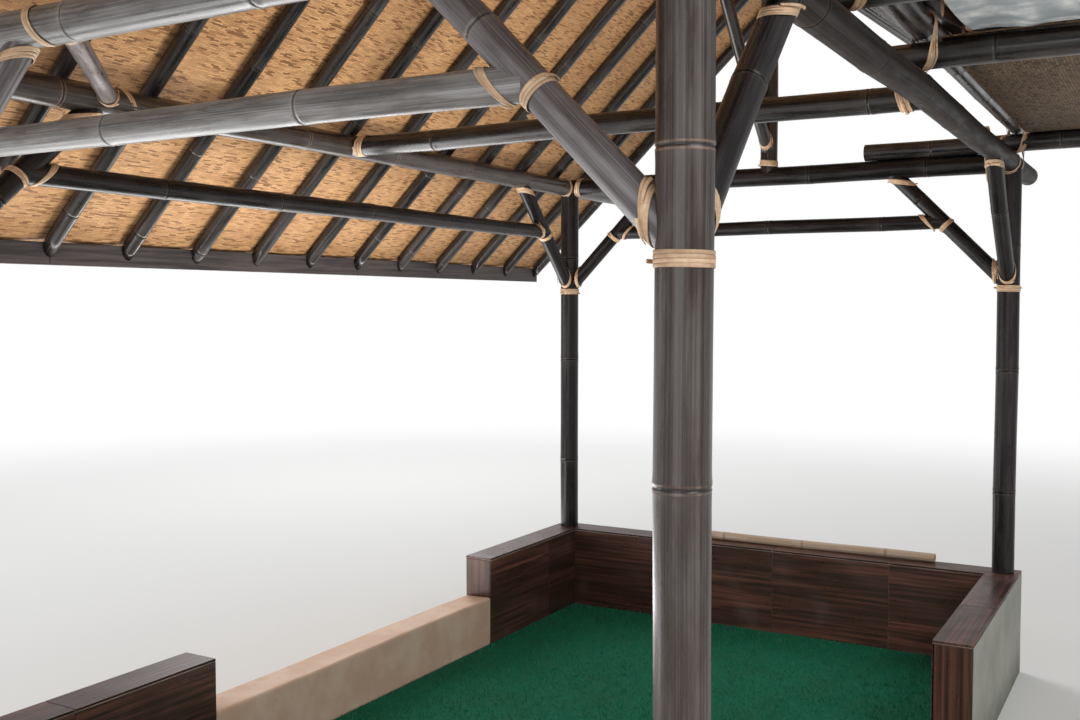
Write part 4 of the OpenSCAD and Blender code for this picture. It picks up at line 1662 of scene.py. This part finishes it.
def slope_thatch(slope, clumps, cap_w):
    """Thatch of one slope down from the ridge roll: its body, its courses, and its loose edges."""
    r = sizes("roof")
    side, pitch, top = SLOPES[slope]
    node = slope + "_thatch"
    one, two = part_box(node)
    y0, y1 = THATCH_Y
    reach = max(abs(one.x), abs(two.x))
    under = 2 * RAFTER_R + THATCH_GAP
    thick = (THATCH_TOP - top) * math.cos(pitch) - under
    material = straw_finish("straw_" + node, down_slope(side, pitch))
    down = Vector((side * math.cos(pitch), 0, -math.sin(pitch)))
    face = Vector((side * math.sin(pitch), 0, math.cos(pitch)))

    def spot(x, y, h):
        """Point of the thatch: level distance from the ridge, and height over the mat."""
        return Vector((side * x, y, top - x * math.tan(pitch) + (under + h) / math.cos(pitch)))

    def row(x, h, way, size):
        """Line of straw that runs level from verge to verge."""
        return spot(x, y0 + VERGE, h), spot(x, y1 - VERGE, h), way, face, size

    def short(x):
        """Share of a straw's length that leaves it short of the ridge."""
        return min(1.0, (x / math.cos(pitch) - 0.03) / (r.straw * 1.2))

    # the body of the thatch, a little inside the straw, stepped at each course
    count = int((reach - cap_w - 0.02) / r.course)
    edges = [reach - i * r.course for i in range(count + 1)]
    profile = [(0.002, thick - 0.012), (0.002, 0.0), (reach - 0.022, 0.0)]
    for a, b in zip(edges, edges[1:]):
        profile += [(a - 0.022, thick - 0.014), (b - 0.020, thick - r.step - 0.014)]
    profile.append((edges[-1] - 0.022, thick - 0.014))
    outline = [(side * x, spot(x, 0, h).z) for x, h in profile]
    wave = ripples(31, (0.25, 0.003), (0.08, 0.002))
    swept_body(node + "_body", node, outline, y0 + 0.025, y1 - 0.025, wave, material, 0.22)

    # courses of straw over the body, their butts in the steps
    tilt = (down + face * (r.step / r.course * math.cos(pitch))).normalized()
    lines = []
    for x in edges:
        lines += [row(x - 0.016, thick - deep, tilt, short(x)) for deep in (0.006, 0.016, 0.026)]
        middle = x - r.course * 0.45
        if middle > cap_w + 0.02:
            lines.append(row(middle, thick - r.step * 0.45 - 0.006, tilt, short(middle)))
    half = len(lines) // 2
    for part, some in (("low", lines[:half]), ("high", lines[half:])):
        name = node + "_straw_" + part
        lay_straw(name, some, material, r.spacing, r.straw, 0.014, 3 + len(part), clumps)

    # the eave: butts at every height of the thatch
    lines = [row(reach - 0.016, 0.005 + (thick - 0.045) * k / 4.0, down, 0.5) for k in range(5)]
    # the two verges: straw that leans out a little past the body
    for y, out in ((y0, -1), (y1, 1)):
        lean = (down + Vector((0, out * 0.10, 0))).normalized()
        edge = y - out * 0.026
        for k in range(6):
            h = 0.005 + (thick - 0.045) * k / 4.4
            lines.append((spot(cap_w, edge, h), spot(reach - 0.03, edge, h), lean, face, 0.5))
    lay_straw(node + "_straw_edges", lines, material, r.spacing, r.straw, 0.012, 5, clumps)


def ridge_roll(cap, cap_w):
    """A body of straw over the ridge, and layers of bundles bent over it."""
    t1, t2 = math.tan(RIVER_PITCH), math.tan(SIDE_PITCH)
    ridge = THATCH_TOP
    lift = cap[1].z - ridge + 0.005
    crest = [
        (-cap_w, -cap_w * t1),
        (-cap_w + 0.010, -cap_w * t1 + lift),
        (-0.090, -0.090 * t1 + lift + 0.025),
        (0.0, lift - 0.005),
        (0.090, -0.090 * t2 + lift + 0.020),
        (cap_w - 0.010, -cap_w * t2 + lift),
        (cap_w, -cap_w * t2),
    ]
    material = straw_finish("straw_ridge", lambda bench, p: bench.vector("MULTIPLY", p, (0.05, 1.0, 0.05)))
    body = [(x * 0.955, ridge + z - (0.012 if 0 < i < 6 else 0.004)) for i, (x, z) in enumerate(crest)]
    body.append((0.0, ridge - 0.006))
    wave = ripples(77, (0.3, 0.002), (0.07, 0.001))
    swept_body("ridge_roll_body", "ridge_cap", body, cap[0].y + 0.02, cap[1].y - 0.02, wave, material, 0.25)
    ends = [Vector((0, cap[0].y + 0.028, ridge)), Vector((0, cap[1].y - 0.028, ridge))]
    line = (*ends, (1, 0, 0), (0, 0, 1), 1.0)
    for k, (depth, seed) in enumerate(((0.003, 9), (0.024, 10), (0.045, 11))):
        layer = [(x * (1 - depth * 0.3), z - depth) for x, z in crest[1:-1]]
        bundles = [link("ridge_clump", bent_clump(10 * k + i, layer)) for i in range(3)]
        lay_straw(f"ridge_roll_straw_{k + 1}", [line], material, 0.014, 1.0, 0.006, seed, bundles, 0.12)
        for bundle in bundles:
            bpy.data.objects.remove(bundle)


class PAVILION_OT_thatch(bpy.types.Operator):
    """Straw in courses on both slopes, ragged at the eaves and verges, and the ridge roll"""

    bl_idname = "pavilion.thatch"
    bl_label = "Thatch"

    def execute(self, context):
        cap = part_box("ridge_cap")
        cap_w = (cap[1].x - cap[0].x) / 2
        clumps = [link("straw_clump", clump_mesh(seed)) for seed in (1, 2, 3)]
        for slope in SLOPES:
            slope_thatch(slope, clumps, cap_w)
        for clump in clumps:
            bpy.data.objects.remove(clump)
        ridge_roll(cap, cap_w)
        return {"FINISHED"}


# low walls and floor


def glaze():
    """Glazed tile that looks like dark red wood: grain along the tile, each its own tone."""

    def build(bench):
        w = sizes("walls")
        run = attribute(bench, "run", "Vector")
        tone = attribute(bench, "tone")
        place = object_place(bench)
        along = bench.vector("DOT_PRODUCT", place, run)
        across = bench.vector("SUBTRACT", place, bench.scaled(run, along))
        own = bench.times(tone, 31.0)
        own = bench.joined(own, own, own)

        def figure(fine, lengthwise):
            """Place with the grain drawn out along the tile, shifted to a part of its own."""
            drawn = bench.scaled(run, bench.times(along, lengthwise))
            return bench.vector("ADD", own, bench.vector("ADD", bench.scaled(across, fine), drawn))

        grain = bench.noise(figure(70.0, 1.6), 1.0, 5.0, 0.60)
        bands = bench.noise(figure(11.0, 0.9), 1.0, 3.0, 0.5)
        body = bench.tint(w.glaze_dark, w.glaze_red, grain, 0.36, 0.66)
        body = bench.tint(body, w.glaze_dark, bands, 0.38, 0.64, 0.65)
        body = bench.shaded(body, tone, 0.80, 1.20)
        dust = bench.noise(place, 5.0, 5.0)
        body = bench.tint(body, (0.22, 0.17, 0.14), dust, 0.55, 0.8, 0.16)
        return {
            "Base Color": body,
            "Roughness": bench.ramp(dust, 0.35, 0.75, 0.26, 0.46),
            "Height": (0.12, 0.0015, grain),
        }

    return finish_for("wood_look_glaze", build, 0.3)


def plain_grout():
    """Gritty grout, stained darker in places."""

    def build(bench):
        place = object_place(bench)
        grit = bench.noise(place, 320.0, 3.0)
        stain = bench.noise(place, 6.0, 4.0)
        body = bench.tint(sizes("walls").grout, (0.10, 0.07, 0.06), stain, 0.4, 0.7)
        return {"Base Color": body, "Height": (0.4, 0.001, grit)}

    return finish_for("grout", build, 0.85)


def cement():
    """Rough cement render: clouds, trowel marks and grit, and damp at the foot."""

    def build(bench):
        place = object_place(bench)
        w = sizes("walls")
        _, _, z = bench.parts(place)
        cloud = bench.noise(place, 3.1, 6.0, 0.62)
        grit = bench.noise(place, 190.0, 4.0, 0.7)
        trowel = bench.noise(bench.vector("MULTIPLY", place, (7.0, 7.0, 26.0)), 1.0, 4.0, 0.6, 0.8)
        body = bench.tint(w.render, (0.38, 0.38, 0.335), cloud, 0.32, 0.70)
        body = bench.tint(body, (0.13, 0.13, 0.115), grit, 0.58, 0.72, 0.45)
        damp = bench.ramp(bench.math("MULTIPLY_ADD", cloud, 0.16, z), 0.09, 0.24, 0.75, 0.0)
        body = bench.blend(damp, body, (0.13, 0.14, 0.10))
        height = bench.math("MULTIPLY_ADD", trowel, 0.9, bench.times(grit, 0.45))
        rough = bench.ramp(cloud, 0.3, 0.7, 0.78, 0.92)
        return {"Base Color": body, "Roughness": rough, "Height": (0.7, 0.006, height)}

    return finish_for("cement_render", build, 0.85)


def kerb_paint():
    """Painted render of the kerb: cloudy, worn and gritty."""

    def build(bench):
        place = object_place(bench)
        cloud = bench.noise(place, 5.5, 5.0, 0.6)
        grit = bench.noise(place, 150.0, 3.0)
        body = bench.tint(sizes("walls").kerb, (0.78, 0.61, 0.49), cloud, 0.36, 0.7)
        body = bench.tint(body, (0.36, 0.27, 0.21), cloud, 0.62, 0.84, 0.45)
        body = bench.tint(body, (0.30, 0.22, 0.17), grit, 0.62, 0.75, 0.3)
        return {"Base Color": body, "Height": (0.45, 0.003, grit)}

    return finish_for("kerb_paint", build, 0.7)


def tile_tree(material):
    """Thickens every loose face into a tile of its own."""
    inputs = ("Faces", "Geometry"), ("Thickness", "Float", 0.009)
    bench, given, out = geometry_tree("Wall tiles", *inputs)
    back = bench.add("GeometryNodeFlipFaces", {"Mesh": given["Faces"]})
    front = bench.add(
        "GeometryNodeExtrudeMesh",
        {"Mesh": given["Faces"], "Offset Scale": given["Thickness"], "Individual": True},
        mode="FACES",
    )
    both = bench.gathered("GeometryNodeJoinGeometry", front, back)
    closed = bench.add("GeometryNodeMergeByDistance", {"Geometry": both, "Distance": 0.00002})
    solid = bench.add("GeometryNodeRealizeInstances", {0: closed})
    bench.feed(out.inputs[0], bench.dressed(solid, material))
    return bench.tree


# how far the grout's bed stays inside the outline of its tiles
BED_MARGIN = 0.001


def spans(long, first, step, joint):
    """Stretches between joints along a wall, each with half a joint off both its ends."""
    cuts = [0.0]
    cut = first
    while cut < long - 0.03:
        cuts.append(cut)
        cut += step
    cuts.append(long)
    last = len(cuts) - 2
    return [
        (a + (joint / 2 if i else 0), b - (joint / 2 if i < last else 0))
        for i, (a, b) in enumerate(zip(cuts, cuts[1:]))
    ]


def wall_tiles(name, node, faces):
    """Tiles of one node on their grout.

    Each face is an origin, the ways along and up, a length, the heights of the row of tiles
    over the origin, and the place of the first joint. Its outward side is along cross up.
    """
    w = sizes("walls")
    rng = random.Random(len(name))
    points, quads, runs, tones = [], [], [], []
    deep = w.proud + 0.006
    for origin, run, up, long, (z0, z1), first in faces:
        back = origin - run.cross(up).normalized() * deep
        for a, b in spans(long, first, w.tile_l, w.joint):
            quads.append(tuple(range(len(points), len(points) + 4)))
            points += [back + run * p + up * q for p, q in ((a, z0), (b, z0), (b, z1), (a, z1))]
            runs += [tuple(run)] * 4
            tones += [rng.random()] * 4
    mesh = bpy.data.meshes.new(name)
    mesh.from_pydata(points, [], quads)
    store(mesh, "run", runs)
    store(mesh, "tone", tones)
    piece = grow(name, mesh, tile_tree(glaze()), {"Thickness": deep})
    soften(piece, w.chamfer, 2)
    keep(piece, "wall_tile", node)

    # the bed behind the tiles, as deep as the joints
    bm = bmesh.new()
    for origin, run, up, long, (z0, z1), _ in faces:
        out = run.cross(up).normalized()
        a, b, top = BED_MARGIN, long - BED_MARGIN, z1 - BED_MARGIN
        corners = [
            bm.verts.new(origin + run * p + up * q - out * depth)
            for depth in (w.proud, FACING)
            for p, q in ((a, z0), (b, z0), (b, top), (a, top))
        ]
        for quad in ((0, 1, 2, 3), (7, 6, 5, 4), (0, 4, 5, 1), (1, 5, 6, 2), (2, 6, 7, 3), (3, 7, 4, 0)):
            bm.faces.new([corners[i] for i in quad])
    mesh = plain_mesh(name + "_grout", bm)
    mesh.materials.append(plain_grout())
    keep(link(name + "_grout", mesh), "wall_tile")


def kerb():
    """The kerb's box with soft edges and a slightly uneven face."""
    name, uneven = "river_kerb_render", 0.002
    one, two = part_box("river_kerb")
    bm = bmesh.new()
    add_box(bm, one, two)
    bmesh.ops.subdivide_edges(bm, edges=bm.edges, cuts=14, use_grid_fill=True)
    wave = ripples(len(name), (0.2, uneven), (0.06, uneven * 0.6))
    for v in bm.verts:
        if v.co.z > one.z + 0.02:
            v.co.z += wave(v.co.x, v.co.y) - uneven
            v.co.x += wave(v.co.y, v.co.z * 2) * 0.5
    mesh = plain_mesh(name, bm)
    for face in mesh.polygons:
        face.use_smooth = True
    mesh.materials.append(kerb_paint())
    piece = link(name, mesh)
    soften(piece, 0.012, 3, 0.9)
    keep(piece, "kerb", "river_kerb")


def end_wall_faces():
    """Inner faces and caps of the two end walls."""
    base = FLOOR_Z - TILES_UNDER_FLOOR
    for y, inward in ((FAR_Y, -1), (NEAR_Y, 1)):
        start = Vector((inward * WALL_IN_X, y + inward * WALL_T / 2, base))
        yield start, -ALONG_X * inward, UP, 2 * WALL_IN_X, TILE_ROW, FIRST_JOINT
        start = Vector((-WALL_OUT_X, y - WALL_T / 2, WALL_TOP))
        yield start, ALONG_X, ALONG_Y, 2 * WALL_OUT_X, CAP_ROW, FIRST_JOINT + WALL_T


def long_wall_faces(side, lengths):
    """Inner faces, end faces and caps of the two walls on one long side."""
    w = sizes("walls")
    base = FLOOR_Z - TILES_UNDER_FLOOR
    half = WALL_T / 2
    middle = side * (WALL_IN_X + half)
    for y, inward, long in ((NEAR_Y, 1, lengths[0]), (FAR_Y, -1, lengths[1])):
        y_post, y_end = y + inward * half, y + inward * long
        stretch = long - half
        rest = stretch % w.tile_l
        rest = rest if rest > 0.04 else w.tile_l

        def first(start):
            """The joints are counted from the opening, and the rest of a tile lies at the post."""
            return w.tile_l if start == y_end else rest

        run = -side * ALONG_Y
        start = min(y_post, y_end) if run.y > 0 else max(y_post, y_end)
        yield Vector((side * WALL_IN_X, start, base)), run, UP, stretch, TILE_ROW, first(start)
        # the end face looks to the opening: one tile with upright grain between two corner joints
        tall = TILE_ROW[1]
        corner = Vector((middle - inward * half, y_end, base))
        yield corner, UP, ALONG_X * inward, tall, (w.joint / 2, WALL_T - w.joint / 2), tall
        start = min(y_post, y_end)
        yield Vector((middle + half, start, WALL_TOP)), ALONG_Y, -ALONG_X, stretch, CAP_ROW, first(start)


class PAVILION_OT_walls(bpy.types.Operator):
    """Low walls: cement cores, tiled faces and caps, and the kerb"""

    bl_idname = "pavilion.walls"
    bl_label = "Low walls"

    def execute(self, context):
        for node in ("floor_slab", "end_walls", "river_walls", "side_walls"):
            paint(node, cement())
        wall_tiles("end_wall_tiles", "end_tiles", list(end_wall_faces()))
        wall_tiles("river_wall_tiles", "river_tiles", list(long_wall_faces(-1, RIVER_WALLS)))
        wall_tiles("side_wall_tiles", "side_tiles", list(long_wall_faces(1, SIDE_WALLS)))
        kerb()
        return {"FINISHED"}


def turf_tree(material):
    """Scatters bent blades over the floor."""
    bench, given, out = geometry_tree(
        "Turf blades",
        ("Floor", "Geometry"),
        ("Density", "Float", 5000.0),
        ("Pile", "Float", 0.016),
        ("Blade", "Object"),
    )
    points = bench.add(
        "GeometryNodeDistributePointsOnFaces",
        {"Mesh": given["Floor"], "Density": given["Density"], "Seed": 4},
        distribute_method="RANDOM",
    )
    turn = bench.add("FunctionNodeRandomValue", {"Seed": 2}, data_type="FLOAT_VECTOR")
    turn.inputs[0].default_value = (-0.45, -0.45, 0.0)
    turn.inputs[1].default_value = (0.45, 0.45, 6.283)
    size = bench.add("FunctionNodeRandomValue", {"Seed": 3}, data_type="FLOAT")
    size.inputs[2].default_value, size.inputs[3].default_value = 0.6, 1.0
    blades = bench.add(
        "GeometryNodeInstanceOnPoints",
        {
            "Points": points.outputs["Points"],
            "Instance": bench.shape(given["Blade"]),
            "Rotation": turn.outputs[0],
            "Scale": bench.times(given["Pile"], size.outputs[1]),
        },
    )
    tone = bench.add("FunctionNodeRandomValue", {"Seed": 5}, data_type="FLOAT").outputs[1]
    blades = bench.stored(blades, "tone", tone, domain="INSTANCE")
    solid = bench.add("GeometryNodeRealizeInstances", {0: blades})
    bench.feed(out.inputs[0], bench.dressed(solid, material))
    return bench.tree


def turf_backing():
    """Tufted backing between the blades."""

    def build(bench):
        t = sizes("turf")
        place = object_place(bench)
        tuft = bench.noise(place, 240.0, 3.0, 0.7)
        row = bench.noise(place, 4.0, 3.0)
        body = bench.tint(t.backing, t.blade, tuft, 0.35, 0.7)
        body = bench.tint(body, (0.03, 0.10, 0.05), row, 0.45, 0.75, 0.4)
        return {"Base Color": body, "Height": (0.8, 0.006, tuft)}

    return finish_for("turf_backing", build, 0.9, 0.1)


def turf_blade():
    """Plastic blade, darker at its root, each its own shade and a few of them dry."""

    def build(bench):
        t = sizes("turf")
        place = object_place(bench)
        tone = attribute(bench, "tone")
        _, _, z = bench.parts(place)
        patch = bench.noise(place, 2.6, 3.0)
        body = bench.tint(t.blade, (0.030, 0.235, 0.125), tone, 0.1, 0.9)
        body = bench.tint(body, (0.10, 0.20, 0.08), tone, 0.86, 0.9, 0.8)
        body = bench.tint(body, (0.018, 0.10, 0.068), patch, 0.45, 0.7, 0.4)
        root = bench.ramp(z, FLOOR_Z - 0.016, FLOOR_Z - 0.006, 0.5, 0.0)
        return {"Base Color": bench.blend(root, body, t.backing)}

    return finish_for("turf_blade", build, 0.65, 0.12)


class PAVILION_OT_turf(bpy.types.Operator):
    """Artificial turf: a backing and short blades"""

    bl_idname = "pavilion.turf"
    bl_label = "Turf"

    def execute(self, context):
        t = sizes("turf")
        one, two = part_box("turf_mat")
        # the room, and the entrance between the two side walls
        areas = (
            ((-WALL_IN_X, one.y), (WALL_IN_X, two.y)),
            ((WALL_IN_X, NEAR_Y + SIDE_WALLS[0]), (WALL_OUT_X, FAR_Y - SIDE_WALLS[1])),
        )
        bm = bmesh.new()
        for a, b in areas:
            add_box(bm, (*a, one.z), (*b, one.z + 0.005))
        mesh = plain_mesh("turf_backing", bm)
        mesh.materials.append(turf_backing())
        keep(link("turf_backing", mesh), "turf", "turf_mat")
        mesh = bpy.data.meshes.new("blade")
        mesh.from_pydata(
            [(-0.11, 0, 0), (0.11, 0, 0), (-0.09, 0.10, 0.55), (0.09, 0.10, 0.55), (0, 0.38, 1.0)],
            [],
            [(0, 1, 3, 2), (2, 3, 4)],
        )
        blade = link("blade", mesh)
        corners, m = [], 0.004
        for (x0, y0), (x1, y1) in areas:
            x0, y0, x1, y1 = x0 + m, y0 + m, x1 - m, y1 - m
            corners += [(x, y, one.z + m) for x, y in ((x0, y0), (x1, y0), (x1, y1), (x0, y1))]
        ground = bpy.data.meshes.new("turf_ground")
        ground.from_pydata(corners, [], [(0, 1, 2, 3), (4, 5, 6, 7)])
        density = t.density * 1.0
        feeds = {"Density": density, "Pile": t.pile, "Blade": blade}
        piece = grow("turf_blades", ground, turf_tree(turf_blade()), feeds)
        bpy.data.objects.remove(blade)
        keep(piece, "turf")
        return {"FINISHED"}


# stage


# the camera's place, and its angles up from level and round from the +Y axis
EYE = (1.934, -3.701, 1.775)
EYE_TILT = math.radians(-2.767)
EYE_TURN = math.radians(29.726)
SENSOR_WIDE = 36
WHITE = (1, 1, 1)


def either_ray(bench, one, other):
    """One where either kind of ray looks at the surface."""
    path = bench.add("ShaderNodeLightPath").outputs
    return bench.math("MAXIMUM", path[one], path[other])


def soft_lamp(name, place, aim, size, power, seen=True):
    """Area lamp aimed at a point: a disc, or a strip with two sizes."""
    lamp = bpy.data.lights.new(name, "AREA")
    lamp.energy = power
    if isinstance(size, tuple):
        lamp.shape, (lamp.size, lamp.size_y) = "RECTANGLE", size
    else:
        lamp.shape, lamp.size = "DISK", size
    item = bpy.data.objects.new(name, lamp)
    item.location = place
    item.rotation_euler = (Vector(aim) - Vector(place)).to_track_quat("-Z", "Y").to_euler()
    item.visible_camera = False
    item.visible_glossy = seen
    bpy.context.scene.collection.objects.link(item)


def studio_camera(scene, lens):
    """The camera at the photo's place."""
    camera = bpy.data.cameras.new("camera")
    camera.sensor_fit, camera.sensor_width, camera.lens = "HORIZONTAL", SENSOR_WIDE, lens
    camera.clip_start, camera.clip_end = 0.05, 400
    eye = bpy.data.objects.new("camera", camera)
    eye.location = EYE
    eye.rotation_euler = (math.pi / 2 + EYE_TILT, 0, EYE_TURN)
    scene.collection.objects.link(eye)
    scene.camera = eye
    scene.view_settings.view_transform = "Standard"


def studio_world(scene, strength):
    """Plain light from all round, and a white background."""
    world = bpy.data.worlds.new("studio")
    scene.world = world
    world.use_nodes = True
    world.node_tree.nodes.clear()
    bench = Bench(world.node_tree)
    seen = either_ray(bench, "Is Camera Ray", "Is Transmission Ray")
    lit = bench.add("ShaderNodeBackground", {"Color": WHITE, "Strength": strength})
    white = bench.add("ShaderNodeBackground", {"Color": WHITE, "Strength": 1.0})
    both = bench.add("ShaderNodeMixShader", {0: seen, 1: lit, 2: white})
    bench.add("ShaderNodeOutputWorld", {"Surface": both})


def studio_floor(ground):
    """Wide floor that fades into the white background far from the pavilion."""
    bm = bmesh.new()
    bmesh.ops.create_circle(bm, cap_ends=True, segments=96, radius=120)
    floor = link("floor", plain_mesh("floor", bm))
    material = bpy.data.materials.new("studio_floor")
    material.use_nodes = True
    bench = Bench(material.node_tree)
    nodes = material.node_tree.nodes
    surface, output = nodes["Principled BSDF"], nodes["Material Output"]
    surface.inputs["Roughness"].default_value = 0.9
    surface.inputs["Base Color"].default_value = (*ground, 1)
    away = bench.vector("LENGTH", object_place(bench))
    seen = either_ray(bench, "Is Camera Ray", "Is Glossy Ray")
    fade = bench.times(bench.ramp(away, 4.0, 13.0), seen)
    white = bench.add("ShaderNodeEmission", {"Color": WHITE, "Strength": 1.0})
    both = bench.add("ShaderNodeMixShader", {0: fade, 1: surface, 2: white})
    bench.feed(output.inputs["Surface"], both)
    floor.data.materials.append(material)


class PAVILION_OT_stage(bpy.types.Operator):
    """Camera, plain floor and soft studio light"""

    bl_idname = "pavilion.stage"
    bl_label = "Stage"

    def execute(self, context):
        s = sizes("stage")
        studio_camera(context.scene, s.lens)
        studio_world(context.scene, s.sky)
        studio_floor(s.ground)
        soft_lamp("key", (6.5, -3.5, 6.5), (0, 0, 1.4), 5.0, s.key)
        soft_lamp("front", (1.5, -8.5, 2.6), (0, 0, 1.9), 5.0, s.key * 0.40)
        soft_lamp("kerb_side", (-7.5, -3.0, 3.4), (0, -0.5, 2.0), 4.0, s.key * 0.60)
        soft_lamp("back", (-6.0, 6.5, 6.0), (0, 0, 1.8), 5.0, s.key * 1.30)
        # light thrown up from the floor, and from a long strip on the ground beside the walls
        soft_lamp("bounce", (-0.2, 0.1, 0.45), (-0.6, 0.1, 3.0), 1.6, s.key * 0.20, False)
        soft_lamp("low_strip", (-2.9, 0.0, 0.01), (-2.9, 0.0, 3.0), (1.5, 6.5), s.key * 0.70)
        return {"FINISHED"}


OPERATORS = (
    PAVILION_OT_stage,
    PAVILION_OT_posts,
    PAVILION_OT_braces,
    PAVILION_OT_plates,
    PAVILION_OT_rafters,
    PAVILION_OT_outriggers,
    PAVILION_OT_lashings,
    PAVILION_OT_mats,
    PAVILION_OT_board,
    PAVILION_OT_sheet,
    PAVILION_OT_walls,
    PAVILION_OT_turf,
    PAVILION_OT_thatch,
)


class PAVILION_PT_pieces(bpy.types.Panel):
    """The pavilion's pieces and sizes"""

    bl_idname = "PAVILION_PT_pieces"
    bl_label = "Bamboo pavilion"
    bl_space_type = "VIEW_3D"
    bl_region_type = "UI"
    bl_category = "Pavilion"

    def draw(self, context):
        for operator in OPERATORS:
            self.layout.operator(operator.bl_idname)
        for name, group in GROUPS.items():
            box = self.layout.box()
            box.label(text=name.capitalize())
            for key in group.__annotations__:
                box.prop(getattr(context.scene, "pavilion_" + name), key)


def register():
    for name, group in GROUPS.items():
        bpy.utils.register_class(group)
        setattr(bpy.types.Scene, "pavilion_" + name, PointerProperty(type=group))
    for item in (*OPERATORS, PAVILION_PT_pieces):
        bpy.utils.register_class(item)


def unregister():
    for item in (PAVILION_PT_pieces, *reversed(OPERATORS)):
        bpy.utils.unregister_class(item)
    for name, group in GROUPS.items():
        delattr(bpy.types.Scene, "pavilion_" + name)
        bpy.utils.unregister_class(group)


def main():
    """Builds every piece and the stage."""
    register()
    for operator in OPERATORS:
        module, name = operator.bl_idname.split(".")
        getattr(getattr(bpy.ops, module), name)()


if __name__ == "__main__":
    main()
